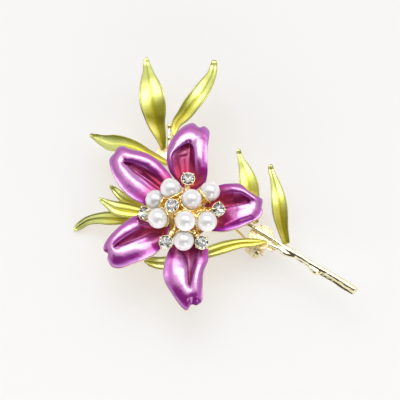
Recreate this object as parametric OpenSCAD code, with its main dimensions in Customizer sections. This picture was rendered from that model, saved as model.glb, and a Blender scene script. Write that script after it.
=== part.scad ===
// Flower brooch lying on its pin: five enamelled petals, nine enamelled leaves, a cluster of
// pearls and claw-set stones, a cast twig, and a hinged pin that closes into a turning catch.
// Millimetres. Z is up, and the brooch rests on z = 0 on its hinge, its catch and one leaf tip.

/* [Placing] */
// From the origin to the flower's centre, along X
flower_x = -5.3; // [-6:0.1:-4]
// From the origin to the flower's centre, along Y
flower_y = -6.5; // [-7:0.1:-6]

/* [Petals] */
// Metal thickness in the middle of a petal
petal_thick = 0.8; // [0.6:0.05:0.9]
// Thickness of a petal's edge
petal_edge = 0.45; // [0.3:0.05:0.6]
// Height of the padded ridge round a petal's hollow
petal_ridge = 1.1; // [0.6:0.05:1.3]

/* [Leaves] */
// Metal thickness of a leaf
leaf_thick = 0.6; // [0.5:0.05:0.7]
// Depth of a leaf's valley as a share of its half width
leaf_valley = 0.25; // [0.1:0.01:0.3]

/* [Twig] */
// Radius of the seat that carries the petals
seat_r = 5.2; // [5:0.1:5.4]
// Bottom of the seat
seat_z = 6.0; // [5.8:0.1:6.1]
// Thickness of the seat
seat_thick = 0.5; // [0.4:0.05:0.55]

/* [Flower centre] */
// Pearl diameter
pearl_d = 4.0; // [3.6:0.05:4]
// Radius of a stone at its girdle
stone_r = 1.2; // [1:0.05:1.25]
// Radius of the claw cup round a stone
cup_r = 1.36; // [1.33:0.01:1.4]
// Height of the claw cup
cup_h = 1.0; // [0.9:0.05:1.2]
// Number of claws on a cup
claw_count = 4; // [4:1:8]
// Radius of the stamen hub
hub_r = 2.6; // [2:0.1:2.8]
// Air between a pearl or a cup and the stamen that carries it
glue_gap = 0.06; // [0.03:0.01:0.1]

/* [Pin and hinge] */
// From the flower's centre to the hinge axis, along X
hinge_x = -4.4; // [-4.6:0.1:-4.2]
// From the flower's centre to the hinge axis, along Y
hinge_y = 13.3; // [13.2:0.1:13.4]
// Direction in which the pin points, in degrees from +X
pin_heading = -46.3; // [-50:0.1:-42]
// Height of the pin's axis over the table
pin_z = 1.52; // [1.52:0.01:1.6]
// Radius of the pin wire
wire_r = 0.3; // [0.25:0.01:0.35]
// Length from the hinge axis to the point
pin_len = 28.6; // [28:0.1:30]
// Length of the ground point
point_len = 1.8; // [1:0.1:3]
// Outer radius of the pin's eye
eye_r = 0.68; // [0.6:0.01:0.75]
// Thickness of the pin's eye
eye_thick = 0.7; // [0.6:0.05:0.7]
// Radius of the hinge rivet
rivet_r = 0.28; // [0.25:0.01:0.3]
// Thickness of each hinge ear
ear_thick = 0.5; // [0.4:0.05:0.6]

/* [Turning catch] */
// Distance from the hinge to the middle of the catch
catch_reach = 26.2; // [26:0.1:26.4]
// Outer radius of the catch's fixed ring
ring_r = 1.75; // [1.7:0.01:1.75]
// Inner radius of the fixed ring
ring_bore_r = 1.3; // [1.28:0.01:1.32]
// Length of the fixed ring
ring_len = 2.2; // [2:0.1:2.3]
// Opening of the fixed ring
ring_slot = 1.74; // [1.6:0.02:1.8]
// Outer radius of the turning sleeve
sleeve_r = 1.24; // [1.2:0.01:1.25]
// Bore radius of the turning sleeve
sleeve_bore_r = 0.62; // [0.55:0.01:0.7]
// Radius of the sleeve's end flanges
flange_r = 1.48; // [1.4:0.01:1.5]
// Thickness of an end flange
flange_thick = 0.5; // [0.4:0.05:0.6]
// Slot in the sleeve that lets the pin through
sleeve_slot = 0.94; // [0.8:0.02:1]
// Reach of the thumb tab from the pin's axis
tab_reach = 2.2; // [1.8:0.05:2.4]

/* [Soldered pads] */
// Underside of the hinge pad and the catch pad
pad_z = 4.2; // [4.1:0.05:4.3]
// Thickness of the pads
pad_thick = 0.75; // [0.6:0.05:0.8]
// Radius of the hinge pad
hinge_pad_r = 1.6; // [1.5:0.05:2]
// Radius of the catch pad
catch_pad_r = 2.45; // [2.4:0.05:2.6]
// From the flower's centre to the catch pad, along X
catch_pad_x = 14.9; // [14.8:0.1:15]
// From the flower's centre to the catch pad, along Y
catch_pad_y = -4.4; // [-4.5:0.1:-4.3]
// Radius of the smaller lobe of the catch pad, under the fork of the twig
catch_lobe_r = 1.5; // [1:0.1:1.8]
// Thickness of that lobe
catch_lobe_thick = 0.5; // [0.4:0.05:0.55]

/* [Hidden] */
$fn = 48;

gold = "#e0b860";
purple = "#a03c98";
green = "#b4b43c";

// Pearl centres from the flower's centre, and height over the table
PEARLS = [
    // x, y, z
    [-3.0, 3.4, 12.0],
    [-6.0, 1.7, 9.9],
    [1.1, 1.0, 12.4],
    [4.7, 3.1, 11.0],
    [-5.4, -2.6, 11.5],
    [-0.1, -3.6, 13.0],
    [4.1, -3.3, 11.7],
    [-0.4, -6.8, 10.5]
];

// Stone girdles: where they sit, how far they lean, towards which heading, and the turn of their claws
STONES = [
    // x, y, z, lean, heading, turn
    [0.4, 5.8, 10.8, 35, 80, 50],
    [-2.7, -0.5, 13.1, 8, 190, 10],
    [6.4, -0.6, 11.1, 25, 330, 30],
    [-8.3, -1.0, 9.8, 40, 180, 10],
    [-3.9, -7.1, 10.4, 30, 240, 80],
    [3.1, -7.2, 10.4, 35, 300, 12]
];

// Splines through the rows of the tables below

function row(rows, i) = rows[min(len(rows) - 1, max(0, i))];
function ring_row(rows, i) = rows[(i + len(rows)) % len(rows)];

function cubic(a, b, c, d, t) =
    b + 0.5 * t * (c - a + t * (2 * a - 5 * b + 4 * c - d + t * (3 * (b - c) + d - a)));

function open_spline(rows, steps) = [
    for (i = [0 : len(rows) - 2], k = [0 : steps - 1])
        cubic(row(rows, i - 1), row(rows, i), row(rows, i + 1), row(rows, i + 2), k / steps),
    row(rows, len(rows) - 1)
];

function closed_spline(rows, steps) = [
    for (i = [0 : len(rows) - 1], k = [0 : steps - 1])
        cubic(ring_row(rows, i - 1), ring_row(rows, i),
              ring_row(rows, i + 1), ring_row(rows, i + 2), k / steps)
];

function flat(v) = [v[0], v[1]];
function blend(a, b, t) = a + (b - a) * t;
function share(t) = min(1, max(0, t));

// Skin between rings of equal length, closed at the first and last ring by ladder strips.
// The rings run anticlockwise and the body lies below them as they are listed.
function skin_faces(rings, n) = [
    for (r = [0 : rings - 2], i = [0 : n - 1])
        let (j = (i + 1) % n)
            each [[r * n + i, (r + 1) * n + i, (r + 1) * n + j],
                  [r * n + i, (r + 1) * n + j, r * n + j]]
];

function ladder_faces(start, n, on_top) = [
    for (i = [0 : n / 2 - 1])
        let (a = start + i, b = start + i + 1,
             c = start + (n - i - 1) % n, d = start + (n - i) % n)
            each [
                if (i > 0) on_top ? [a, b, d] : [a, d, b],
                if (i < n / 2 - 1) on_top ? [b, c, d] : [b, d, c]
            ]
];

// PETALS

// Cross-section of a petal from its midrib to its edge: share of the way out, height
RIDGE = [
    // reach, height as a share of petal_ridge
    [0.00, 0.20],
    [0.08, 0.14],
    [0.16, 0.02],
    [0.28, 0.18],
    [0.42, 0.72],
    [0.54, 0.96],
    [0.68, 1.00],
    [0.80, 0.84],
    [0.88, 0.62],
    [1.00, 0.10]
];
// Rings of the two faces: out from the midrib underneath, and back in on top
UNDER_REACH = [0.08, 0.4, 0.7, 1];
TOP_REACH = [1, 0.88, 0.8, 0.68, 0.54, 0.42, 0.28, 0.16, 0.08];
// Height of the ridge underneath, as a share of the ridge on top
under_ridge = 0.6;
// Height of the ridge at the root, as a share of its full height
root_ridge = 0.25;
// The ridge reaches its full height at this share of the midrib
full_ridge_at = 0.55;

// Outlines run from the root clockwise over the tip's notch, which is the ninth row
PETAL_LEFT = [
    // x, y, z of the edge
    [-3.4, 3.4, 7.5],
    [-3.9, 8.6, 8.0], [-5.1, 10.0, 8.4], [-6.8, 11.4, 8.7], [-8.9, 12.2, 8.9],
    [-11.0, 12.7, 8.8], [-12.6, 13.5, 8.5], [-13.8, 13.2, 8.2],
    [-14.4, 12.1, 8.1],
    [-15.3, 11.0, 8.0], [-15.2, 9.3, 8.2], [-14.4, 6.9, 8.5], [-12.9, 4.4, 8.6],
    [-11.0, 2.6, 8.4], [-8.9, 1.6, 8.0], [-7.1, 1.3, 7.6]
];
PETAL_TOP = [
    [0.6, 4.2, 7.5],
    [-2.7, 7.3, 7.9], [-3.7, 9.3, 8.4], [-3.9, 11.3, 8.7], [-3.5, 13.6, 9.0],
    [-2.2, 15.9, 9.0], [-0.6, 17.6, 8.8], [1.3, 18.4, 8.6],
    [2.6, 17.6, 8.4],
    [3.7, 17.7, 8.6], [4.7, 16.4, 8.9], [4.5, 14.1, 9.2], [4.2, 11.7, 9.2],
    [4.3, 9.1, 8.9], [4.2, 7.2, 8.3], [3.5, 5.7, 7.7]
];
PETAL_RIGHT = [
    [3.6, 0.6, 7.5],
    [5.3, 4.6, 7.8], [7.1, 5.4, 8.4], [9.1, 5.5, 8.8], [10.8, 5.3, 9.0],
    [12.3, 4.0, 9.0], [13.8, 3.0, 8.8], [15.1, 2.2, 8.5],
    [15.0, 0.8, 8.1],
    [15.1, -0.5, 8.1], [14.2, -1.8, 8.2], [12.5, -2.7, 8.4], [10.5, -3.7, 8.5],
    [8.3, -4.3, 8.4], [6.3, -4.3, 8.1], [4.5, -3.5, 7.7]
];
PETAL_BOTTOM = [
    [0.3, -4.2, 7.5],
    [3.2, -5.9, 7.6], [4.3, -7.6, 8.0], [4.4, -10.1, 8.3], [3.5, -12.6, 8.3],
    [3.3, -15.3, 8.0], [3.3, -17.9, 7.7], [2.3, -19.1, 7.5],
    [1.1, -19.0, 7.4],
    [0.2, -20.1, 7.5], [-1.1, -19.2, 7.7], [-2.6, -17.1, 8.0], [-4.2, -14.4, 8.4],
    [-4.4, -11.8, 8.4], [-3.6, -8.6, 8.1], [-2.3, -6.5, 7.6]
];
PETAL_LOW_LEFT = [
    [-3.4, -2.6, 7.5],
    [-4.5, -6.7, 7.6], [-5.7, -8.6, 8.1], [-7.8, -10.0, 8.3], [-10.3, -11.0, 8.3],
    [-12.6, -11.8, 8.2], [-14.4, -11.5, 8.0], [-15.3, -10.1, 8.0],
    [-15.3, -8.8, 7.9],
    [-16.1, -8.2, 8.0], [-16.0, -6.9, 8.2], [-14.9, -5.2, 8.6], [-13.2, -3.5, 8.8],
    [-11.2, -1.8, 8.6], [-9.5, -1.0, 8.2], [-7.5, -2.2, 7.6]
];

// Midribs from the root to the end of the hollow
//                 root               middle              end
RIB_LEFT = [[-4.4, 4.4, 7.5], [-9.2, 7.8, 7.8], [-12.3, 10.1, 8.1]];
RIB_TOP = [[0.7, 5.6, 7.5], [0.9, 11.1, 7.9], [0.9, 14.5, 8.3]];
RIB_RIGHT = [[4.8, 0.6, 7.5], [9.9, 1.1, 7.8], [12.4, 1.4, 8.1]];
RIB_BOTTOM = [[0.3, -5.6, 7.5], [0.4, -12.0, 7.8], [0.7, -15.6, 7.8]];
RIB_LOW_LEFT = [[-4.6, -3.6, 7.5], [-10.6, -6.0, 7.8], [-13.7, -7.5, 8.0]];

// How far along the midrib a point of the outline lies, from 0 at the root to 1 at the end
function along(p, rib) =
    let (run = flat(rib[2]) - flat(rib[0]))
        share(((flat(p) - flat(rib[0])) * run) / (run * run));

function rib_point(rib, s) =
    s < 0.5 ? blend(rib[0], rib[1], 2 * s) : blend(rib[1], rib[2], 2 * s - 1);

// The ridge sinks towards the root
function ridge_height(s) = petal_ridge * blend(root_ridge, 1, share(s / full_ridge_at));

function petal_point(p, rib, reach, lift, under) =
    let (s = along(p, rib),
         base = blend(rib_point(rib, s), p, reach),
         up = ridge_height(s) * lookup(reach, RIDGE) * lift)
            base + [0, 0, up - under * blend(petal_thick, petal_edge, reach)];

module petal(outline, rib) {
    edge = closed_spline(outline, 2);
    n = len(edge);
    under = [
        for (reach = UNDER_REACH, i = [n - 1 : -1 : 0])
            petal_point(edge[i], rib, reach, under_ridge, 1)
    ];
    upper = [
        for (reach = TOP_REACH, i = [n - 1 : -1 : 0])
            petal_point(edge[i], rib, reach, 1, 0)
    ];
    rings = len(UNDER_REACH) + len(TOP_REACH);
    color(purple)
        polyhedron(
            points = concat(under, upper),
            faces = concat(
                [for (f = skin_faces(rings, n)) [f[0], f[2], f[1]]],
                ladder_faces(0, n, false),
                ladder_faces((rings - 1) * n, n, true)
            ),
            convexity = 6
        );
}

// LEAVES

// Cross-section of a leaf: share of the half width, height as a share of the valley's depth
LEAF_TOP = [
    [1.0, 0.0], [0.86, 0.12], [0.5, -0.62], [0.1, -1.0],
    [-0.1, -1.0], [-0.5, -0.62], [-0.86, 0.12], [-1.0, 0.0]
];
LEAF_UNDER = [[-0.8, -0.45], [0.0, -1.2], [0.8, -0.45]];

// Leaves run from the base to the tip
LEAF_CROWN_LEFT = [
    // x, y, z, half width
    [-4.6, 13.8, 6.0, 0.45], [-5.1, 16.0, 6.6, 1.1], [-6.0, 18.7, 7.2, 1.8],
    [-6.4, 20.9, 7.7, 2.35], [-6.8, 23.1, 8.0, 2.6], [-7.1, 25.3, 7.8, 2.45],
    [-7.5, 27.8, 7.2, 1.8], [-7.8, 30.0, 6.5, 1.1], [-8.1, 31.9, 6.2, 0.75],
    [-8.2, 32.8, 6.7, 0.55]
];
LEAF_CROWN_RIGHT = [
    [-2.5, 16.2, 7.1, 0.3], [-2.3, 17.8, 6.9, 0.7], [-1.7, 19.3, 6.9, 1.1],
    [-0.3, 20.9, 7.1, 1.5], [1.1, 22.9, 7.4, 1.7], [2.8, 25.2, 7.5, 1.7],
    [4.1, 27.5, 7.1, 1.4], [5.1, 29.6, 6.5, 1.0], [5.5, 31.3, 6.2, 0.8],
    [5.65, 32.3, 6.7, 0.6]
];
LEAF_LONG_LEFT = [
    [-3.6, 10.5, 6.3, 0.4], [-5.1, 11.4, 6.3, 0.66], [-7.5, 12.6, 6.4, 0.85],
    [-10.2, 14.0, 6.6, 1.2], [-12.9, 14.8, 6.6, 1.5], [-15.0, 15.0, 6.4, 1.75],
    [-16.8, 15.6, 6.1, 1.2], [-18.2, 16.3, 5.9, 0.75], [-19.1, 16.6, 6.2, 0.43]
];
LEAF_SIDE_UPPER = [
    [-7.7, 1.5, 5.2, 0.5], [-8.6, 1.9, 5.0, 0.8], [-10.3, 2.8, 4.9, 1.05],
    [-12.0, 3.5, 4.9, 1.1], [-13.3, 4.4, 4.9, 0.9], [-14.4, 5.5, 4.8, 0.62],
    [-15.1, 6.1, 5.0, 0.32]
];
LEAF_SIDE_MIDDLE = [
    [-7.4, 0.2, 6.2, 0.55], [-9.2, 0.3, 6.5, 1.1], [-11.5, 0.6, 6.7, 1.55],
    [-13.8, 1.1, 6.6, 1.5], [-15.3, 2.0, 6.2, 0.95], [-16.5, 2.8, 5.8, 0.58],
    [-17.1, 3.2, 5.9, 0.31]
];
LEAF_SIDE_LOWER = [
    [-7.7, -0.1, 4.6, 0.6], [-10.7, -0.4, 4.5, 1.0], [-13.3, -0.4, 4.3, 1.2],
    [-15.5, -0.1, 3.7, 1.4], [-17.7, 0.1, 2.9, 1.15], [-19.8, -0.1, 2.0, 0.92],
    [-21.5, -0.9, 1.1, 0.8], [-22.3, -1.4, 0.75, 0.5]
];
LEAF_UNDER_FLOWER = [
    [16.0, -5.7, 6.0, 0.2], [13.6, -5.9, 6.2, 0.8], [10.7, -6.1, 6.2, 0.98],
    [7.6, -6.8, 6.0, 1.25], [4.6, -7.7, 5.8, 1.2], [0.1, -9.1, 5.6, 1.26],
    [-4.3, -9.9, 5.4, 1.3], [-6.9, -9.6, 5.3, 1.0], [-7.9, -9.5, 5.3, 0.37]
];
LEAF_STEM_SHORT = [
    [13.9, -1.9, 6.3, 0.5], [13.2, 0.3, 6.3, 1.25], [12.8, 3.4, 6.6, 1.77],
    [12.4, 6.3, 6.8, 1.86], [11.7, 9.2, 6.5, 1.24], [11.0, 11.3, 6.0, 0.7],
    [10.6, 12.7, 5.9, 0.51], [10.5, 13.2, 6.3, 0.43]
];
LEAF_STEM_TALL = [
    [19.7, -5.7, 6.5, 0.64], [19.1, -3.4, 6.9, 1.08], [18.6, -0.6, 7.3, 1.5],
    [18.3, 2.2, 7.4, 1.52], [17.9, 5.1, 7.0, 1.13], [17.3, 7.8, 6.3, 0.7],
    [16.9, 9.3, 6.1, 0.6], [16.8, 9.8, 6.5, 0.48]
];

// Direction of a path in plan at one of its stations
function heading(path, i) =
    let (run = flat(row(path, i + 1)) - flat(row(path, i - 1))) run / norm(run);

// One closed section: over the top from one edge to the other, then back underneath
function leaf_section(path, i) =
    let (p = path[i], w = p[3], run = heading(path, i), side = [-run[1], run[0], 0],
         centre = [p[0], p[1], p[2]], depth = leaf_valley * w)
            [
                for (c = LEAF_TOP) centre + side * w * c[0] + [0, 0, depth * c[1]],
                for (c = LEAF_UNDER)
                    centre + side * w * c[0] + [0, 0, depth * c[1] - leaf_thick]
            ];

// The tip is rounded off by one narrower section past the last row
tip_reach = 0.6;
tip_width = 0.5;
function rounded_tip(rows) =
    let (p = rows[len(rows) - 1], run = heading(rows, len(rows) - 1) * p[3] * tip_reach)
        [p[0] + run[0], p[1] + run[1], p[2], p[3] * tip_width];

module leaf(rows) {
    path = concat(open_spline(rows, 2), [rounded_tip(rows)]);
    n = len(LEAF_TOP) + len(LEAF_UNDER);
    last = (len(path) - 1) * n;
    color(green)
        polyhedron(
            points = [for (i = [0 : len(path) - 1]) each leaf_section(path, i)],
            faces = concat(
                skin_faces(len(path), n),
                [[for (i = [0 : n - 1]) i]],
                [[for (i = [n - 1 : -1 : 0]) last + i]]
            ),
            convexity = 6
        );
}

// TWIG: one casting of the stem, its knots, the branches to the leaves and the petals' seat

STEM = [
    // x, y, z, radius
    [32.8, -15.6, 6.6, 0.72], [31.1, -14.4, 6.5, 0.7], [29.2, -13.1, 6.4, 0.64],
    [27.3, -11.9, 6.2, 0.6], [25.7, -10.9, 6.1, 0.62], [24.6, -10.2, 6.0, 0.64],
    [23.0, -9.1, 5.9, 0.58], [21.7, -8.3, 5.9, 0.66], [20.1, -7.3, 5.8, 0.72],
    [19.0, -6.4, 5.7, 0.5], [17.6, -5.3, 5.6, 0.42], [15.6, -4.0, 5.5, 0.4],
    [13.7, -2.8, 5.5, 0.4], [11.7, -1.7, 5.5, 0.45], [7.7, -0.3, 5.6, 0.55],
    [3.8, 0.7, 5.8, 0.7]
];
KNOT_SPUR = [[25.6, -11.4, 5.9, 0.55], [24.8, -11.3, 5.9, 0.78], [23.8, -10.2, 5.9, 0.5]];
FORK_SPUR = [
    [21.4, -8.6, 5.7, 0.5], [19.7, -8.0, 5.65, 0.68], [18.7, -7.2, 5.6, 0.56],
    [17.5, -6.6, 5.5, 0.4], [16.5, -6.1, 5.5, 0.28]
];
CROWN_BRANCH = [
    [-1.4, 4.0, 6.1, 0.6], [-1.6, 7.2, 5.8, 0.6], [-3.1, 12.3, 5.8, 0.6],
    [-3.4, 14.5, 5.9, 0.5], [-3.4, 16.0, 6.1, 0.42]
];
CROWN_BAR = [[-3.4, 16.0, 6.1, 0.2], [-3.4, 18.9, 6.2, 0.2]];
CROWN_BEADS = [[-3.4, 16.1, 6.2, 0.42], [-3.4, 19.0, 6.3, 0.38]];
SIDE_BRANCH = [[-2.6, 1.2, 6.0, 0.6], [-4.6, 0.9, 5.4, 0.6], [-6.8, 0.7, 5.0, 0.6]];
rod_sides = 10;

function spot(p) = [p[0], p[1], p[2]];

// A tapering round rod along the rows of a table
module chain(rows) {
    for (i = [0 : len(rows) - 2])
        hull() {
            translate(spot(rows[i])) sphere(r = rows[i][3], $fn = rod_sides);
            translate(spot(rows[i + 1])) sphere(r = rows[i + 1][3], $fn = rod_sides);
        }
}

module twig() {
    color(gold) {
        chain(STEM);
        chain(KNOT_SPUR);
        chain(FORK_SPUR);
        chain(CROWN_BRANCH);
        chain(CROWN_BAR);
        chain(SIDE_BRANCH);
        for (b = CROWN_BEADS)
            translate(spot(b)) sphere(r = b[3], $fn = rod_sides);
        translate([0, 0, seat_z])
            cylinder(r = seat_r, h = seat_thick);
    }
}

// FLOWER CENTRE: a hub with one stamen to each pearl and each claw cup

hub_foot_z = 6.55;
hub_foot_r = 1.6;
hub_z = 8.5;
hub_thick = 0.9;
// Point that all stamens spring from, inside the top of the hub
hub_top = [-0.6, -0.6, 8.8];
stamen_root_r = 0.62;
stamen_tip_r = 0.48;
cup_stem_r = 0.36;
pearl_r = pearl_d / 2;

// A tapering rod from a to b
module rod(a, b, r_a, r_b) {
    run = b - a;
    translate(a)
        rotate([0, acos(run[2] / norm(run)), atan2(run[1], run[0])])
            cylinder(r1 = r_a, r2 = r_b, h = norm(run), $fn = 24);
}

function towards(from, to, gap) = to + (from - to) / norm(from - to) * gap;

// End of a stamen, just under the foot of a leaning cup
function under_cup(s) =
    [s[0], s[1], s[2]]
    - (cup_h + glue_gap + cup_stem_r) * [sin(s[3]) * cos(s[4]), sin(s[3]) * sin(s[4]), cos(s[3])];

module stamen_cluster() {
    color("#c88a30") {
        translate([0, 0, hub_foot_z])
            cylinder(r = hub_foot_r, h = hub_z - hub_foot_z);
        translate([0, 0, hub_z - hub_thick / 2])
            cylinder(r = hub_r, h = hub_thick);
        for (p = PEARLS)
            rod(hub_top, towards(hub_top, p, pearl_r + glue_gap), stamen_root_r, stamen_tip_r);
        for (s = STONES)
            rod(hub_top, under_cup(s), stamen_root_r, cup_stem_r);
    }
}

module pearl(i) {
    color("white")
        translate(PEARLS[i])
            sphere(r = pearl_r);
}

module lean(s) {
    translate([s[0], s[1], s[2]])
        rotate([0, 0, s[4]])
            rotate([0, s[3], 0])
                children();
}

cup_foot_r = 0.75;
cup_floor = 0.2;
seat_foot_r = 0.3;
claw_r = 0.2;
claw_down = 0.6;
claw_over = 0.34;
stone_gap = 0.05;
stone_lift = 0.04;

module claw_cup(i) {
    color(gold)
        lean(STONES[i]) {
            difference() {
                translate([0, 0, -cup_h])
                    cylinder(r1 = cup_foot_r, r2 = cup_r, h = cup_h, $fn = 32);
                translate([0, 0, cup_floor - cup_h])
                    cylinder(r1 = seat_foot_r, r2 = stone_r + stone_gap, h = cup_h - cup_floor, $fn = 32);
            }
            for (k = [0 : claw_count - 1])
                rotate([0, 0, STONES[i][5] + k * 360 / claw_count])
                    translate([cup_r + claw_r / 2, 0, -claw_down])
                        cylinder(r = claw_r, h = claw_down + claw_over, $fn = 16);
        }
}

// A brilliant with eight sides: a flat table, a crown, a thin girdle and a pavilion
crown_h = 0.42;
table_share = 0.58;
girdle_h = 0.08;
pavilion_h = 0.68;

module stone(i) {
    color("#f0f4f4")
        lean(STONES[i])
            translate([0, 0, stone_lift])
                rotate_extrude($fn = 8)
                    polygon([
                        [0, -pavilion_h], [stone_r, 0], [stone_r, girdle_h],
                        [stone_r * table_share, girdle_h + crown_h], [0, girdle_h + crown_h]
                    ]);
}

// PIN, HINGE AND CATCH

// Everything here is drawn along +X from the hinge axis, with z = 0 on the pin's axis
module at_hinge() {
    translate([hinge_x, hinge_y, pin_z])
        rotate([0, 0, pin_heading])
            children();
}

module cross_rod(r, h) {
    rotate([90, 0, 0])
        cylinder(r = r, h = h, center = true);
}

module along_rod(r, h) {
    rotate([0, 90, 0])
        cylinder(r = r, h = h);
}

running_gap = 0.05;
ear_bore_r = rivet_r + 0.01;
eye_bore_r = rivet_r + running_gap;
ear_foot_r = 0.95;
ears_apart = eye_thick + 2 * running_gap;
rivet_head_r = 0.5;
rivet_head_thick = 0.2;
head_gap = 0.03;
pad_under = pad_z - pin_z;
ear_into_pad = 0.1;
pin_tip_r = 0.05;

module hinge_block() {
    color(gold)
        at_hinge() {
            translate([0, 0, pad_under])
                cylinder(r = hinge_pad_r, h = pad_thick);
            for (side = [-1, 1])
                translate([0, side * (ears_apart + ear_thick) / 2, 0])
                    difference() {
                        union() {
                            translate([0, 0, ear_foot_r - pin_z])
                                cross_rod(ear_foot_r, ear_thick);
                            translate([-ear_foot_r, -ear_thick / 2, ear_foot_r - pin_z])
                                cube([2 * ear_foot_r, ear_thick, pad_z + ear_into_pad - ear_foot_r]);
                        }
                        cross_rod(ear_bore_r, 2 * ear_thick);
                    }
        }
}

module hinge_rivet() {
    ears_outside = ears_apart / 2 + ear_thick + head_gap;
    color(gold)
        at_hinge() {
            cross_rod(rivet_r, 2 * ears_outside + rivet_head_thick);
            for (side = [-1, 1])
                translate([0, side * (ears_outside + rivet_head_thick / 2), 0])
                    cross_rod(rivet_head_r, rivet_head_thick);
        }
}

module pin_wire() {
    color(gold)
        at_hinge()
            difference() {
                union() {
                    cross_rod(eye_r, eye_thick);
                    along_rod(wire_r, pin_len - point_len);
                    translate([pin_len - point_len, 0, 0])
                        rotate([0, 90, 0])
                            cylinder(r1 = wire_r, r2 = pin_tip_r, h = point_len);
                }
                cross_rod(eye_bore_r, 2 * eye_thick);
            }
}

module at_catch() {
    at_hinge()
        translate([catch_reach, 0, 0])
            children();
}

post_w = 0.9;
// Height above the bore at which the post starts, inside the ring's wall
post_into_ring = 0.15;
// Heading of the pad's lobe, along the twig
catch_lobe_heading = -32;

module catch_ring() {
    ring_top = ring_bore_r + post_into_ring;
    color(gold) {
        at_catch() {
            difference() {
                translate([-ring_len / 2, 0, 0])
                    along_rod(ring_r, ring_len);
                translate([-ring_len, 0, 0])
                    along_rod(ring_bore_r, 2 * ring_len);
                translate([-ring_len, -ring_slot / 2, -2 * ring_r])
                    cube([2 * ring_len, ring_slot, 2 * ring_r]);
            }
            translate([-ring_len / 2, -post_w / 2, ring_top])
                cube([ring_len, post_w, pad_under + pad_thick / 2 - ring_top]);
        }
        translate([catch_pad_x, catch_pad_y, pad_z]) {
            cylinder(r = catch_pad_r, h = pad_thick);
            rotate([0, 0, catch_lobe_heading])
                translate([catch_pad_r, 0, 0])
                    cylinder(r = catch_lobe_r, h = catch_lobe_thick);
        }
    }
}

tab_w = 0.9;
sleeve_inside = ring_len + 4 * running_gap;
sleeve_len = sleeve_inside + 2 * flange_thick;

module catch_sleeve() {
    color(gold)
        at_catch()
            difference() {
                union() {
                    translate([-sleeve_len / 2, 0, 0])
                        along_rod(sleeve_r, sleeve_len);
                    for (end = [-1, 1])
                        translate([end * (sleeve_inside + flange_thick) / 2 - flange_thick / 2, 0, 0])
                            along_rod(flange_r, flange_thick);
                    translate([sleeve_inside / 2, sleeve_r, -tab_w / 2])
                        cube([flange_thick, tab_reach - sleeve_r, tab_w]);
                }
                translate([-sleeve_len, 0, 0])
                    along_rod(sleeve_bore_r, 2 * sleeve_len);
                translate([-sleeve_len, -sleeve_slot / 2, -2 * flange_r])
                    cube([2 * sleeve_len, sleeve_slot, 2 * flange_r]);
            }
}

module placed() {
    translate([flower_x, flower_y, 0])
        children();
}

placed() twig();
placed() leaf(LEAF_CROWN_LEFT);  // leaf_crown_left
placed() leaf(LEAF_CROWN_RIGHT);  // leaf_crown_right
placed() leaf(LEAF_LONG_LEFT);  // leaf_long_left
placed() leaf(LEAF_SIDE_UPPER);  // leaf_side_upper
placed() leaf(LEAF_SIDE_MIDDLE);  // leaf_side_middle
placed() leaf(LEAF_SIDE_LOWER);  // leaf_side_lower
placed() leaf(LEAF_UNDER_FLOWER);  // leaf_under
placed() leaf(LEAF_STEM_SHORT);  // leaf_stem_short
placed() leaf(LEAF_STEM_TALL);  // leaf_stem_tall
placed() petal(PETAL_LEFT, RIB_LEFT);  // petal_left
placed() petal(PETAL_TOP, RIB_TOP);  // petal_top
placed() petal(PETAL_RIGHT, RIB_RIGHT);  // petal_right
placed() petal(PETAL_BOTTOM, RIB_BOTTOM);  // petal_bottom
placed() petal(PETAL_LOW_LEFT, RIB_LOW_LEFT);  // petal_low_left
placed() stamen_cluster();
placed() pearl(0);  // pearl_1
placed() pearl(1);  // pearl_2
placed() pearl(2);  // pearl_3
placed() pearl(3);  // pearl_4
placed() pearl(4);  // pearl_5
placed() pearl(5);  // pearl_6
placed() pearl(6);  // pearl_7
placed() pearl(7);  // pearl_8
placed() claw_cup(0);  // claw_cup_1
placed() claw_cup(1);  // claw_cup_2
placed() claw_cup(2);  // claw_cup_3
placed() claw_cup(3);  // claw_cup_4
placed() claw_cup(4);  // claw_cup_5
placed() claw_cup(5);  // claw_cup_6
placed() stone(0);  // stone_1
placed() stone(1);  // stone_2
placed() stone(2);  // stone_3
placed() stone(3);  // stone_4
placed() stone(4);  // stone_5
placed() stone(5);  // stone_6
placed() hinge_block();
placed() hinge_rivet();
placed() pin_wire();
placed() catch_ring();
placed() catch_sleeve();
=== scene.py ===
import math

import bmesh
import bpy
import numpy as np
from mathutils import Matrix, Vector, noise


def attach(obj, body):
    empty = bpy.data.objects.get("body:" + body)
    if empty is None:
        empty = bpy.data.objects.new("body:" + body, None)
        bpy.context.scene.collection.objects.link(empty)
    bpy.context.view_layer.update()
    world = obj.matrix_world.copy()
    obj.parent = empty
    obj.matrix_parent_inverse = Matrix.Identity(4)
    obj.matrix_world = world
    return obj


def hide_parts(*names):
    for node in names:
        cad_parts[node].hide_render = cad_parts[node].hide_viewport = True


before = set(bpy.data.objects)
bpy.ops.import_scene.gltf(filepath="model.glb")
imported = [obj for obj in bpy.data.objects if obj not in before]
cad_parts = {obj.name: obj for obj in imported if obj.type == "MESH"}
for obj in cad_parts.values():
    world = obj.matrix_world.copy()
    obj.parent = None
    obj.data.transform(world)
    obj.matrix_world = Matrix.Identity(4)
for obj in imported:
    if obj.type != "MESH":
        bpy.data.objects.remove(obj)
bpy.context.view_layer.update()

# TABLE, LIGHT AND CAMERA
# The brooch lies face up on a plain pale table in a white room. A wide soft light over it and a small
# lamp low at the front show in the metal, two more soft lights fill the shadows, and the camera's side
# of the room stays darker.
MM = 0.001
CAMERA_HEIGHT = math.radians(72)
CAMERA_DISTANCE = 300 * MM
CAMERA_LENS = 135
SENSOR_WIDTH = 36
LOOK_AT = Vector((-2.54, -3.24, 5.0)) * MM

scene = bpy.context.scene
scene.view_settings.view_transform = "Standard"

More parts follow.
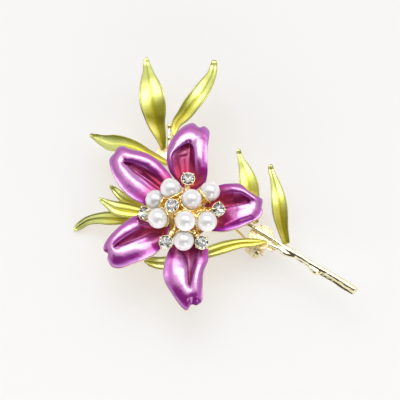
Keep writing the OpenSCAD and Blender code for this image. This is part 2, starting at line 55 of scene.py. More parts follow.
camera_data = bpy.data.cameras.new("camera")
camera_data.lens = CAMERA_LENS
camera_data.sensor_width = SENSOR_WIDTH
camera = bpy.data.objects.new("camera", camera_data)
towards_camera = Vector((0, -math.cos(CAMERA_HEIGHT), math.sin(CAMERA_HEIGHT)))
camera.location = LOOK_AT + CAMERA_DISTANCE * towards_camera
camera.rotation_euler = (math.pi / 2 - CAMERA_HEIGHT, 0, 0)
scene.collection.objects.link(camera)
scene.camera = camera

LIGHT_DISTANCE = 0.6

# Soft lights: name, degrees from overhead towards +Y and towards +X, width, depth, radiance, colour, and
# whether it shows only as a reflection in what is glossy or only lights what is matt
LIGHTS = [
    ("softbox", 18, 2, 1.2, 0.56, 0.45, (1.0, 0.985, 0.97), True),
    ("softbox_core", 20, 6, 0.76, 0.34, 2.5, (1.0, 0.985, 0.97), True),
    ("lower_lamp", -59, 32, 0.30, 0.30, 1.7, (1.0, 0.97, 1.0), True),
    ("back_fill", 40, -8, 0.5, 0.4, 1.5, (1.0, 0.99, 0.98), False),
    ("front_fill", -76, 0, 1.4, 0.4, 3.6, (1.0, 0.98, 0.97), False),
]


def soft_light(name, towards_y, towards_x, width, depth, radiance, colour, in_gloss):
    """A rectangular light that faces the brooch."""
    data = bpy.data.lights.new(name, "AREA")
    data.shape = "RECTANGLE"
    data.size = width
    data.size_y = depth
    data.energy = radiance * math.pi * width * depth
    data.color = colour
    lamp = bpy.data.objects.new(name, data)
    place = Vector((math.tan(math.radians(towards_x)), math.tan(math.radians(towards_y)), 1)).normalized()
    lamp.location = LOOK_AT + LIGHT_DISTANCE * place
    lamp.rotation_euler = place.to_track_quat("Z", "Y").to_euler()
    lamp.visible_diffuse = not in_gloss
    lamp.visible_glossy = in_gloss
    lamp.visible_transmission = in_gloss
    scene.collection.objects.link(lamp)


for row in LIGHTS:
    soft_light(*row)

world = bpy.data.worlds.new("studio")
world.use_nodes = True
scene.world = world
sky = world.node_tree
sky.nodes.clear()


def feed(tree, socket, source):
    """Joins an input to a (node, output) pair, or gives it a plain value."""
    if isinstance(source, tuple) and isinstance(source[0], bpy.types.Node):
        tree.links.new(source[0].outputs[source[1]], socket)
    else:
        socket.default_value = source


def join(tree, node, **sources):
    """Feeds a node's inputs, each by its name."""
    for name, source in sources.items():
        feed(tree, node.inputs[name.replace("_", " ")], source)


def add_node(tree, kind, **values):
    """A shader node with its properties and inputs given by name."""
    node = tree.nodes.new(kind)
    for name, value in values.items():
        if hasattr(node, name):
            setattr(node, name, value)
        else:
            join(tree, node, **{name: value})
    return node


def calculate(tree, operation, *sources, kind="ShaderNodeMath"):
    """The result of a maths node."""
    node = add_node(tree, kind, operation=operation)
    for socket, source in zip(node.inputs, sources):
        feed(tree, socket, source)
    return node, "Value"


def ramp(tree, source, start, end, **values):
    """0 to 1 as a number goes from start to end."""
    node = add_node(tree, "ShaderNodeMapRange", Value=source, From_Min=start, From_Max=end, **values)
    return node, "Result"


def mix_colours(tree, factor, a, b):
    """A colour between a and b."""
    mix = add_node(tree, "ShaderNodeMix", data_type="RGBA")
    feed(tree, mix.inputs[0], factor)
    feed(tree, mix.inputs[6], a)
    feed(tree, mix.inputs[7], b)
    return mix, 2


# The darker part of the room lies on the camera's side, from SHADE_FROM to SHADE_TO down from overhead
# and up to 52 degrees to either side. The camera doesn't see it, only what is glossy or lit by the room.
SHADE_FROM = math.radians(16)
SHADE_TO = math.radians(80)
SHADE_HALF_WIDTH = math.sin(math.radians(52))
WALL_COLOUR = (0.93, 0.93, 0.93, 1)
SHADE_COLOUR = (0.09, 0.07, 0.07, 1)
direction = add_node(sky, "ShaderNodeTexCoord"), "Generated"
past_softbox = calculate(
    sky, "DOT_PRODUCT", direction, (0, -math.cos(SHADE_FROM), -math.sin(SHADE_FROM)),
    kind="ShaderNodeVectorMath",
)
over_table = calculate(
    sky, "DOT_PRODUCT", direction, (0, math.cos(SHADE_TO), math.sin(SHADE_TO)),
    kind="ShaderNodeVectorMath",
)
sideways = calculate(sky, "ABSOLUTE", (add_node(sky, "ShaderNodeSeparateXYZ", Vector=direction), "X"))
upper_edge = ramp(sky, past_softbox, -0.03, 0.05)
lower_edge = ramp(sky, over_table, -0.05, 0.10)
side_edge = ramp(sky, sideways, SHADE_HALF_WIDTH + 0.10, SHADE_HALF_WIDTH - 0.08)
shade = calculate(sky, "MULTIPLY", calculate(sky, "MULTIPLY", upper_edge, lower_edge), side_edge)
unseen = calculate(sky, "SUBTRACT", 1, (add_node(sky, "ShaderNodeLightPath"), "Is Camera Ray"))
wall_paint = mix_colours(sky, calculate(sky, "MULTIPLY", shade, unseen), WALL_COLOUR, SHADE_COLOUR)
room = add_node(sky, "ShaderNodeBackground", Color=wall_paint)
add_node(sky, "ShaderNodeOutputWorld", Surface=(room, "Background"))


def new_material(name, metallic, base_colour, roughness, **values):
    """A Principled material. Plain values go on the shader's own sockets."""
    material = bpy.data.materials.new(name)
    material.use_nodes = True
    tree = material.node_tree
    shader = tree.nodes["Principled BSDF"]
    join(tree, shader, Metallic=metallic, Base_Color=(*base_colour, 1), Roughness=roughness, **values)
    return material, tree, shader


TABLE_SIZE = 4.0
TABLE_DROP = 0.02 * MM
half = TABLE_SIZE / 2
table_corners = [(-half, -half, 0), (half, -half, 0), (half, half, 0), (-half, half, 0)]
table_mesh = bpy.data.meshes.new("table")
table_mesh.from_pydata(table_corners, [], [(0, 1, 2, 3)])
table = bpy.data.objects.new("table", table_mesh)
table.location.z = -TABLE_DROP
scene.collection.objects.link(table)
table_white = new_material(
    "table_white", 0, (0.43, 0.48, 0.53), 0.7,
    Emission_Color=(1.0, 0.88, 0.76, 1), Emission_Strength=0.475, Specular_IOR_Level=0.1,
)[0]
table_mesh.materials.append(table_white)

# TWIG
# One gold-plated zinc casting: the stem with its knots and forks, the branches to the leaves, the small
# beaded bar between the crown leaves, and the round seat that the petals are soldered on to.
FLOWER = np.array((-5.3, -6.5, 0))

# Branches in millimetres from the flower's centre: x, y, z, radius
BRANCHES = {
    "stem": [
        (32.8, -15.6, 6.6, 0.72), (31.1, -14.4, 6.5, 0.7), (29.2, -13.1, 6.4, 0.64),
        (27.3, -11.9, 6.2, 0.6), (25.7, -10.9, 6.1, 0.62), (24.6, -10.2, 6.0, 0.64),
        (23.0, -9.1, 5.9, 0.58), (21.7, -8.3, 5.9, 0.66), (20.1, -7.3, 5.8, 0.72),
        (19.0, -6.4, 5.7, 0.5), (17.6, -5.3, 5.6, 0.42), (15.6, -4.0, 5.5, 0.4),
        (13.7, -2.8, 5.5, 0.4), (11.7, -1.7, 5.5, 0.45), (7.7, -0.3, 5.6, 0.55),
        (3.8, 0.7, 5.8, 0.7),
    ],
    "underside": [
        (32.5, -15.9, 6.2, 0.66), (30.8, -14.9, 6.1, 0.58), (28.9, -13.6, 6.0, 0.52),
        (27.0, -12.4, 5.8, 0.5), (25.4, -11.3, 5.7, 0.55), (23.8, -10.1, 5.6, 0.5),
        (22.4, -9.2, 5.6, 0.46), (21.0, -8.4, 5.6, 0.4),
    ],
    "knot": [(26.2, -11.8, 5.9, 0.5), (25.4, -11.8, 5.9, 0.7), (24.4, -10.8, 5.9, 0.5)],
    "fork": [
        (21.4, -8.6, 5.7, 0.5), (19.7, -8.0, 5.65, 0.68), (18.7, -7.2, 5.6, 0.56),
        (17.5, -6.6, 5.5, 0.4), (16.5, -6.1, 5.5, 0.28),
    ],
    "crown": [
        (-1.4, 4.0, 6.1, 0.6), (-1.6, 7.2, 5.8, 0.6), (-3.1, 12.3, 5.8, 0.6),
        (-3.4, 14.5, 5.9, 0.5), (-3.4, 16.0, 6.1, 0.42),
    ],
    "bar": [(-3.45, 16.0, 6.1, 0.42), (-3.45, 18.7, 6.2, 0.42)],
    "lower_bead": [(-3.45, 16.05, 6.2, 0.58), (-3.45, 16.15, 6.2, 0.58)],
    "upper_bead": [(-3.45, 18.6, 6.3, 0.68), (-3.45, 18.7, 6.3, 0.68)],
    "side": [(-2.6, 1.2, 6.0, 0.6), (-4.6, 0.9, 5.4, 0.6), (-6.8, 0.7, 5.0, 0.6)],
}
# The stem's lower side bulges less than a round branch would: its height as a share of its width
FLATNESS = {"underside": 0.45}
SEAT_RADIUS = 5.2
SEAT_FROM = 6.0
SEAT_TO = 6.5
SEAT_ROUNDING = 0.12


def spline(rows, steps, closed=False):
    """A smooth curve through the rows, with so many steps from one row to the next."""
    rows = np.array(rows, float)
    count = len(rows) if closed else len(rows) - 1
    limit = (lambda i: i % len(rows)) if closed else (lambda i: min(max(i, 0), len(rows) - 1))
    points = []
    for i in range(count):
        a, b, c, d = (rows[limit(i + k)] for k in (-1, 0, 1, 2))
        for t in np.arange(steps) / steps:
            bend = 2 * a - 5 * b + 4 * c - d + t * (3 * (b - c) + d - a)
            points.append(b + 0.5 * t * (c - a + t * bend))
    if not closed:
        points.append(rows[-1])
    return np.array(points)


def skin(rings):
    """Quads between rings of equal length, and one face across each end."""
    count, sides = rings.shape[:2]
    faces = []
    for r in range(count - 1):
        for i in range(sides):
            j = (i + 1) % sides
            faces.append((r * sides + i, r * sides + j, (r + 1) * sides + j, (r + 1) * sides + i))
    faces.append(tuple(range(sides)))
    faces.append(tuple(range((count - 1) * sides, count * sides)))
    return rings.reshape(-1, 3), faces


def unit(vectors):
    """The same directions at length one."""
    return vectors / np.linalg.norm(vectors, axis=-1, keepdims=True)


def rod(rows, sides=20, steps=6, flatness=1.0):
    """A round or flattened rod with rounded ends along rows of x, y, z and radius."""
    path = spline(rows, steps)
    centres, radii = path[:, :3], path[:, 3]
    runs = unit(np.gradient(centres, axis=0))
    rounding = np.radians((80, 55, 28))[:, None]
    start = centres[0] - runs[0] * radii[0] * np.sin(rounding)
    end = centres[-1] + runs[-1] * radii[-1] * np.sin(rounding[::-1])
    centres = np.concatenate([start, centres, end])
    narrowing = np.cos(rounding[:, 0])
    radii = np.concatenate([radii[0] * narrowing, radii, radii[-1] * narrowing[::-1]])
    caps = len(rounding)
    runs = np.concatenate([np.repeat(runs[:1], caps, axis=0), runs, np.repeat(runs[-1:], caps, axis=0)])
    least = np.eye(3)[np.argmin(np.abs(runs).mean(axis=0))]
    across = unit(np.cross(runs, least))[:, None]
    upward = flatness * np.cross(across[:, 0], runs)[:, None]
    angle = np.linspace(0, 2 * math.pi, sides, endpoint=False)[None, :, None]
    outline = np.cos(angle) * across + np.sin(angle) * upward
    return skin(centres[:, None] + radii[:, None, None] * outline)


def turned(profile, sides=64):
    """A solid turned round Z from rows of radius and height, closed flat at its first and last row."""
    angle = np.linspace(0, 2 * math.pi, sides, endpoint=False)
    rings = [
        np.stack([radius * np.cos(angle), radius * np.sin(angle), np.full(sides, height)], axis=1)
        for radius, height in profile
    ]
    return skin(np.array(rings))


def joined(shells):
    """Several shells as one list of points and one list of faces."""
    points = []
    faces = []
    start = 0
    for shell_points, shell_faces in shells:
        points.append(shell_points)
        faces.extend(tuple(start + k for k in face) for face in shell_faces)
        start += len(shell_points)
    return np.concatenate(points), faces


def rows_of(elements, name):
    """The x, y, z that each element of a mesh holds under a name, as rows."""
    values = np.empty(len(elements) * 3)
    elements.foreach_get(name, values)
    return values.reshape(-1, 3)


def cast_in_one(shells, grain, softening):
    """The union of closed shells as one casting with soft joints: points, faces and normals."""
    points, faces = joined(shells)
    mesh = bpy.data.meshes.new("mould")
    mesh.from_pydata(points.tolist(), [], faces)
    mould = bpy.data.objects.new("mould", mesh)
    scene.collection.objects.link(mould)
    fill = mould.modifiers.new("fill", "REMESH")
    fill.mode = "VOXEL"
    fill.voxel_size = grain
    soften = mould.modifiers.new("soften", "SMOOTH")
    soften.factor = 0.5
    soften.iterations = softening
    cast = mould.evaluated_get(bpy.context.evaluated_depsgraph_get()).to_mesh()
    points = rows_of(cast.vertices, "co")
    normals = rows_of(cast.vertices, "normal")
    faces = [tuple(polygon.vertices) for polygon in cast.polygons]
    bpy.data.objects.remove(mould)
    return points, faces, normals


def ease(t):
    """0 to 1, with a gentle start and end."""
    t = np.clip(t, 0, 1)
    return t * t * (3 - 2 * t)


def noise_at(points):
    """Smooth noise from -1 to 1 at each point."""
    return np.array([noise.noise(Vector(point)) for point in points])


def add_piece(name, points, faces, materials, node, smooth=True):
    """A mesh piece from points in millimetres from the flower's centre, in place of a CAD node."""
    mesh = bpy.data.meshes.new(name)
    mesh.from_pydata(((np.asarray(points) + FLOWER) * MM).tolist(), [], faces)
    shape = bmesh.new()
    shape.from_mesh(mesh)
    bmesh.ops.recalc_face_normals(shape, faces=shape.faces)
    shape.to_mesh(mesh)
    shape.free()
    if smooth:
        mesh.shade_smooth()
    for material in materials:
        mesh.materials.append(material)
    piece = bpy.data.objects.new(name, mesh)
    scene.collection.objects.link(piece)
    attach(piece, "root")
    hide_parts(node)
    return piece


def new_group(name, colours, numbers):
    """An empty shader node group with named inputs, which gives a colour, a roughness and a height."""
    group = bpy.data.node_groups.new(name, "ShaderNodeTree")
    for in_out, kind, labels in (
        ("INPUT", "NodeSocketColor", colours), ("INPUT", "NodeSocketFloat", numbers),
        ("OUTPUT", "NodeSocketColor", ["Colour"]), ("OUTPUT", "NodeSocketFloat", ["Roughness", "Height"]),
    ):
        for label in labels:
            group.interface.new_socket(label, in_out=in_out, socket_type=kind)
    return group, add_node(group, "NodeGroupInput"), add_node(group, "NodeGroupOutput")


# Gold plate over a casting: clouds of warmer metal, and a surface that is never quite flat
plate, plate_in, plate_out = new_group(
    "gold_plate", ["Plate colour", "Warm colour"], ["Cloud fineness", "Ripple fineness", "Smoothness"],
)
where = add_node(plate, "ShaderNodeTexCoord"), "Object"
clouds = add_node(
    plate, "ShaderNodeTexNoise", Detail=3.0, Vector=where, Scale=(plate_in, "Cloud fineness"),
)
ripples = add_node(
    plate, "ShaderNodeTexNoise", Detail=4.0, Roughness=0.6, Vector=where,
    Scale=(plate_in, "Ripple fineness"),
)
join(
    plate, plate_out,
    Colour=mix_colours(
        plate, ramp(plate, (clouds, "Fac"), 0.42, 0.72), (plate_in, "Plate colour"),
        (plate_in, "Warm colour"),
    ),
    Roughness=calculate(plate, "MULTIPLY_ADD", (ripples, "Fac"), 0.16, (plate_in, "Smoothness")),
    Height=(ripples, "Fac"),
)


def finish_surface(tree, shader, group, bump, **values):
    """Places a finish group in a material and joins it to the shader."""
    made = add_node(tree, "ShaderNodeGroup", node_tree=group, **values)
    relief = add_node(
        tree, "ShaderNodeBump", Strength=1.0, Distance=bump * MM, Height=(made, "Height"),
    )
    join(
        tree, shader, Base_Color=(made, "Colour"), Roughness=(made, "Roughness"),
        Normal=(relief, "Normal"), Coat_Normal=(relief, "Normal"),
    )
    return made


def metal_finish(
    name, colour, warm, cloud_fineness=300.0, ripple_fineness=900.0, smoothness=0.2, bump=0.01,
):
    """A metal with clouds of a second tone. bump is the depth of its ripples in millimetres."""
    material, tree, shader = new_material(name, 1.0, colour, smoothness)
    finish_surface(
        tree, shader, plate, bump, Plate_colour=(*colour, 1), Warm_colour=(*warm, 1),
        Cloud_fineness=cloud_fineness, Ripple_fineness=ripple_fineness, Smoothness=smoothness,
    )
    return material


champagne_gold = metal_finish(
    "champagne_gold", (0.93, 0.90, 0.66), (0.88, 0.79, 0.46),
    cloud_fineness=220.0, ripple_fineness=700.0, smoothness=0.05, bump=0.02,
)
seat = turned([
    (SEAT_RADIUS - SEAT_ROUNDING, SEAT_FROM), (SEAT_RADIUS, SEAT_FROM + SEAT_ROUNDING),
    (SEAT_RADIUS, SEAT_TO - SEAT_ROUNDING), (SEAT_RADIUS - SEAT_ROUNDING, SEAT_TO),
])
branches = [rod(rows, flatness=FLATNESS.get(name, 1.0)) for name, rows in BRANCHES.items()]
points, faces, normals = cast_in_one(branches + [seat], grain=0.1, softening=4)

# The stem's lower flank is wrinkled like bark between its knots and its free end
BARK_FROM_X = 21.5
BARK_DEPTH = 0.06
BARK_LENGTH = 1.2
BARK_WIDTH = 0.32
BARK_LOOKS_UP = 0.25
BARK_EDGE = 0.1
BARK_EDGE_SHARPNESS = 1.6
stem = np.array(BRANCHES["stem"])
stem_run = unit(stem[0, :2] - stem[8, :2])
flank = np.array((stem_run[1], -stem_run[0], BARK_LOOKS_UP))
along_stem = points[:, :2] @ stem_run
across_stem = points[:, 1] * stem_run[0] - points[:, 0] * stem_run[1]
bark_grain = np.stack(
    [along_stem / BARK_LENGTH, across_stem / BARK_WIDTH, points[:, 2] / BARK_WIDTH], axis=1,
)
faces_flank = np.clip(normals @ flank * BARK_EDGE_SHARPNESS - BARK_EDGE, 0, 1)
on_stem = np.clip(points[:, 0] - BARK_FROM_X, 0, 1)
bark = np.abs(noise_at(bark_grain)) * BARK_DEPTH * faces_flank * on_stem

# The branch to the crown leaves is lumpier than the rest, between these two places along Y
LUMP_SIZE = 0.55
PLAIN_LUMPS = 0.03
CROWN_LUMPS = 0.17
CROWN_FROM_Y = 4.5
CROWN_TO_Y = 15
on_crown_branch = ease((points[:, 1] - CROWN_FROM_Y) / 1.5) * ease((CROWN_TO_Y - points[:, 1]) / 2)
lumps = (PLAIN_LUMPS + CROWN_LUMPS * on_crown_branch) * noise_at(points / LUMP_SIZE)
add_piece("twig_cast", points + normals * (lumps - bark)[:, None], faces, [champagne_gold], "twig")

# LEAVES
# Nine leaves of pressed metal, creased along the middle and curled at the tip. Their face is enamelled
# in translucent yellow-green, and their rim and back show the gold. Each is soldered to the twig.
LEAF_THICK = 0.6
LEAF_EDGE_SHARE = 0.55
LEAF_STEPS = 8
TIP_ROUNDING = np.radians((15, 32, 50, 66, 80))

# Leaves from base to tip: x, y, z, half width
LEAVES = {
    "leaf_crown_left": [
        (-4.6, 13.8, 6.0, 0.45), (-5.1, 16.0, 6.6, 1.1), (-6.0, 18.7, 7.2, 1.8),
        (-6.4, 20.9, 7.7, 2.35), (-6.8, 23.1, 8.0, 2.6), (-7.1, 25.3, 8.0, 2.45),
        (-7.5, 27.8, 7.65, 1.8), (-7.8, 30.0, 7.05, 1.1), (-8.1, 31.8, 6.6, 0.75),
        (-8.2, 32.7, 6.7, 0.55),
    ],
    "leaf_crown_right": [
        (-2.5, 16.2, 7.1, 0.3), (-2.3, 17.8, 6.9, 0.7), (-1.7, 19.3, 6.9, 1.1),
        (-0.3, 20.9, 7.1, 1.5), (1.1, 22.9, 7.4, 1.7), (2.8, 25.2, 7.5, 1.7),
        (4.1, 27.5, 7.1, 1.4), (5.1, 29.6, 6.5, 1.0), (5.5, 31.3, 6.2, 0.8),
        (5.65, 32.3, 6.4, 0.6),
    ],
    "leaf_long_left": [
        (-3.6, 10.5, 6.3, 0.4), (-5.1, 11.4, 6.3, 0.66), (-7.5, 12.6, 6.4, 0.85),
        (-10.2, 14.0, 6.6, 1.2), (-12.9, 14.8, 6.6, 1.5), (-15.0, 15.0, 6.4, 1.75),
        (-16.8, 15.6, 6.1, 1.2), (-18.2, 16.3, 5.9, 0.75), (-19.1, 16.6, 6.2, 0.43),
    ],
    "leaf_side_upper": [
        (-7.7, 1.5, 5.2, 0.5), (-8.6, 1.9, 5.0, 0.8), (-10.3, 2.8, 4.9, 1.05),
        (-12.0, 3.5, 4.9, 1.1), (-13.3, 4.4, 4.9, 0.9), (-14.4, 5.5, 4.8, 0.62),
        (-15.1, 6.1, 5.0, 0.32),
    ],
    "leaf_side_middle": [
        (-7.4, 0.2, 6.2, 0.55), (-9.2, 0.3, 6.5, 1.1), (-11.5, 0.6, 6.7, 1.55),
        (-13.8, 1.1, 6.6, 1.5), (-15.3, 2.0, 6.2, 0.95), (-16.5, 2.8, 5.8, 0.58),
        (-17.1, 3.2, 5.9, 0.31),
    ],
    "leaf_side_lower": [
        (-7.7, -0.1, 4.6, 0.6), (-10.7, -0.4, 4.5, 1.0), (-13.3, -0.4, 4.3, 1.2),
        (-15.5, -0.1, 3.7, 1.4), (-17.7, 0.1, 2.9, 1.15), (-19.8, -0.1, 2.0, 0.92),
        (-21.5, -0.9, 1.1, 0.8), (-22.3, -1.4, 0.75, 0.5),
    ],
    "leaf_under": [
        (16.0, -5.7, 6.0, 0.2), (13.6, -5.9, 6.2, 0.8), (10.7, -6.1, 6.2, 0.98),
        (7.6, -6.8, 6.0, 1.25), (4.6, -7.7, 5.8, 1.2), (0.1, -9.1, 5.6, 1.26),
        (-4.3, -9.9, 5.4, 1.3), (-6.9, -9.6, 5.3, 1.0), (-7.9, -9.5, 5.3, 0.37),
    ],
    "leaf_stem_short": [
        (13.9, -1.9, 6.3, 0.5), (13.2, 0.3, 6.3, 1.25), (12.8, 3.4, 6.6, 1.77),
        (12.4, 6.3, 6.8, 1.86), (11.7, 9.2, 6.5, 1.24), (11.0, 11.3, 6.0, 0.7),
        (10.6, 12.7, 5.9, 0.51), (10.5, 13.2, 6.3, 0.43),
    ],
    "leaf_stem_tall": [
        (19.8, -6.2, 6.4, 0.7), (19.1, -3.4, 6.9, 1.08), (18.6, -0.6, 7.3, 1.5),
        (18.3, 2.2, 7.4, 1.52), (17.9, 5.1, 7.0, 1.13), (17.3, 7.8, 6.3, 0.7),
        (16.9, 9.3, 6.1, 0.6), (16.8, 9.8, 6.5, 0.48),
    ],
}

# Depth of the crease as a share of the leaf's half width
LEAF_CREASE = {
    "leaf_crown_left": 0.2, "leaf_crown_right": 0.32, "leaf_long_left": 0.36,
    "leaf_stem_short": 0.22, "leaf_stem_tall": 0.24,
}
LEAF_CREASE_PLAIN = 0.29

# Height of the lengthwise rib on each half of a leaf that has them
LEAF_RIBS = {
    "leaf_crown_right": 0.04, "leaf_stem_tall": 0.03, "leaf_side_upper": 0.05,
    "leaf_side_middle": 0.06, "leaf_side_lower": 0.07, "leaf_under": 0.06,
}
RIBS_WITHIN = 0.9

# How far a leaf arches upward. It has the whole height from the middle of its length to the tip.
LEAF_ARCH = {
    "leaf_crown_left": 2.2, "leaf_crown_right": 1.8, "leaf_stem_short": 1.8, "leaf_stem_tall": 2.1,
}
ARCH_BY = 0.5

# Places across a leaf as shares of its half width: over the face, where the rim is, and underneath
HALF_LEAF = np.array((0, 0.04, 0.1, 0.2, 0.3, 0.4, 0.5, 0.6, 0.7, 0.78, 0.84, 0.88, 0.91, 0.94, 0.97, 1.0))
ACROSS = np.concatenate([HALF_LEAF[::-1], -HALF_LEAF[1:]])
RIM_AT = 0.92
RIM_HEIGHT = 0.09
RIM_HALF_WIDTH = 0.045
CREASE_ROUNDING = 0.02
CREASE_CURVE = 0.65
RIBS_FADE = 5
UNDER_ACROSS = np.array((-0.98, -0.9, -0.75, -0.5, -0.25, 0, 0.25, 0.5, 0.75, 0.9, 0.98))


def soft_share(t, softness=0.06):
    """t held between 0 and 1, with rounded corners."""
    low = softness * np.logaddexp(0, t / softness)
    return 1 - softness * np.logaddexp(0, (1 - low) / softness)


def leaf_rings(rows, crease, arch, rib_height):
    """Closed cross-sections from base to tip: over the face and back underneath, and the share along."""
    path = spline(rows, LEAF_STEPS)
    share = np.linspace(0, 1, len(path))
    lift = arch * (soft_share(share / ARCH_BY) - soft_share(0))
    path[:, 1] -= lift / math.tan(CAMERA_HEIGHT)
    path[:, 2] += lift
    headings = unit(np.gradient(path[:, :2], axis=0))
    tip = path[-1]
    rounded = np.array([
        (*(tip[:2] + headings[-1] * tip[3] * math.sin(angle)), tip[2], tip[3] * math.cos(angle))
        for angle in TIP_ROUNDING
    ])
    path = np.concatenate([path, rounded])
    headings = np.concatenate([headings, np.repeat(headings[-1:], len(TIP_ROUNDING), axis=0)])
    share = np.linspace(0, 1, len(path))
    swell = ease(share * RIBS_FADE) * ease((1 - share) * RIBS_FADE)
    from_middle = np.abs(ACROSS)
    out = np.concatenate([ACROSS, UNDER_ACROSS])
    rings = []
    for (x, y, z, width), (run_x, run_y), ribs in zip(path, headings, rib_height * swell):
        depth = crease * width
        face = -depth * (1 - (ACROSS ** 2 + CREASE_ROUNDING) ** CREASE_CURVE)
        face += RIM_HEIGHT * min(width, 1) * np.exp(-((from_middle - RIM_AT) / RIM_HALF_WIDTH) ** 2)
        face += ribs * np.sin(math.pi * 2 * from_middle) * (from_middle < RIBS_WITHIN)
        roundness = np.sqrt(1 - UNDER_ACROSS ** 2)
        back = -LEAF_THICK * (LEAF_EDGE_SHARE + (1 - LEAF_EDGE_SHARE) * roundness)
        back -= depth * (1 - np.abs(UNDER_ACROSS))
        rings.append(np.stack([
            x - run_y * width * out, y + run_x * width * out, z + np.concatenate([face, back]),
        ], axis=1))
    return np.array(rings), share


def set_shares(piece, name, values):
    """A number for each point of a mesh, which its material reads by name."""
    layer = piece.data.attributes.new(name, "FLOAT", "POINT")
    layer.data.foreach_set("value", np.asarray(values, np.float32))


def share_mask(tree, name, start, end):
    """0 to 1 as a mesh's own number goes from start to end."""
    number = add_node(tree, "ShaderNodeAttribute", attribute_name=name), "Fac"
    return ramp(tree, number, start, end, interpolation_type="SMOOTHSTEP")


# Translucent enamel over bright metal: clouds where it is thicker, a darker tint by a mask (on the petals
# this is painted shade), other tints at the edge and at the root, and a fine orange-peel surface
enamel, enamel_in, enamel_out = new_group(
    "enamel_film", ["Body colour", "Clouded colour", "Pooled colour", "Edge colour", "Root colour"],
    ["Pooling", "Edge", "Root", "Cloud fineness", "Smoothness"],
)
where = add_node(enamel, "ShaderNodeTexCoord"), "Object"
clouds = add_node(
    enamel, "ShaderNodeTexNoise", Detail=3.0, Roughness=0.55, Vector=where,
    Scale=(enamel_in, "Cloud fineness"),
)
peel = add_node(enamel, "ShaderNodeTexNoise", Scale=3200.0, Detail=3.0, Vector=where)
film = mix_colours(
    enamel, ramp(enamel, (clouds, "Fac"), 0.42, 0.72), (enamel_in, "Body colour"),
    (enamel_in, "Clouded colour"),
)
for mask, tint in (("Pooling", "Pooled colour"), ("Root", "Root colour"), ("Edge", "Edge colour")):
    film = mix_colours(enamel, (enamel_in, mask), film, (enamel_in, tint))
join(
    enamel, enamel_out, Colour=film, Height=(peel, "Fac"),
    Roughness=calculate(enamel, "MULTIPLY_ADD", (peel, "Fac"), 0.12, (enamel_in, "Smoothness")),
)

gold_back = metal_finish(
    "gold_back", (0.92, 0.76, 0.44), (0.90, 0.66, 0.30),
    cloud_fineness=200.0, ripple_fineness=500.0, bump=0.02,
)
# The leaf rims' gold is dark olive: painted shade for the thin dark outline round each leaf.
leaf_rim_shaded_gold = metal_finish("leaf_rim_shaded_gold", (0.50, 0.48, 0.16), (0.52, 0.44, 0.14))
leaf_green, tree, shader = new_material(
    "leaf_green", 1.0, (0.6, 0.6, 0.1), 0.30, Coat_Weight=1.0, Coat_Roughness=0.20, Coat_IOR=2.55,
)
leaf_film = finish_surface(
    tree, shader, enamel, 0.01,
    Body_colour=(0.50, 0.545, 0.035, 1), Clouded_colour=(0.42, 0.45, 0.02, 1),
    Pooled_colour=(0.32, 0.32, 0.015, 1), Edge_colour=(0.43, 0.45, 0.03, 1),
    Root_colour=(0.48, 0.42, 0.012, 1), Cloud_fineness=240.0, Smoothness=0.32,
)
join(tree, shader, Coat_Weight=share_mask(tree, "gloss", 0.0, 1.0))
# Towards the root the enamel is darker and more ochre: painted shade of the leaf's lower part. Along the
# crease it is darker too.
join(
    tree, leaf_film, Root=share_mask(tree, "along", 0.50, 0.22),
    Edge=share_mask(tree, "across", 0.78, 0.92), Pooling=share_mask(tree, "across", 0.30, 0.04),
)

# The enamel is less glossy towards the root and along the crease
ROOT_GLOSS = 0.5
ROOT_GLOSS_TO = 0.35
FULL_GLOSS_FROM = 0.6
CREASE_DULLING = 0.6
CREASE_HALF_WIDTH = 0.2
for name, rows in LEAVES.items():
    rings, share = leaf_rings(
        rows, LEAF_CREASE.get(name, LEAF_CREASE_PLAIN), LEAF_ARCH.get(name, 0), LEAF_RIBS.get(name, 0),
    )
    points, faces = skin(rings)
    leaf = add_piece(
        name + "_enamelled", points, faces, [leaf_green, leaf_rim_shaded_gold, gold_back], name,
    )
    across = np.concatenate([np.abs(ACROSS), np.ones(len(UNDER_ACROSS))])
    set_shares(leaf, "across", np.tile(across, len(rings)))
    set_shares(leaf, "along", np.repeat(share, rings.shape[1]))
    from_root = ease((share - ROOT_GLOSS_TO) / (FULL_GLOSS_FROM - ROOT_GLOSS_TO))
    gloss_along = ROOT_GLOSS + (1 - ROOT_GLOSS) * from_root
    gloss_across = 1 - CREASE_DULLING * np.exp(-(across / CREASE_HALF_WIDTH) ** 2)
    set_shares(leaf, "gloss", np.outer(gloss_along, gloss_across).ravel())
    between = (across + np.roll(across, -1)) / 2
    part_of_ring = np.where(between < RIM_AT, 0, 1)
    part_of_ring[len(ACROSS):-1] = 2
    slots = np.concatenate([np.tile(part_of_ring, len(rings) - 1), (2, 1)])
    leaf.data.polygons.foreach_set("material_index", slots.astype(np.int32))

# PETALS
# Five petals of pressed metal with a rounded crest round a narrow hollow, enamelled in translucent
# purple that runs red towards the root, with a thin gilt rim. Their roots are soldered to the seat.
PETAL_THICK = 0.8
PETAL_EDGE = 0.45

# Height of the crest over the hollow's deepest line, the share of it at the root, and where it is whole
PETAL_CREST = 1.25
ROOT_CREST_SHARE = 0.25
WHOLE_CREST_AT = 0.68

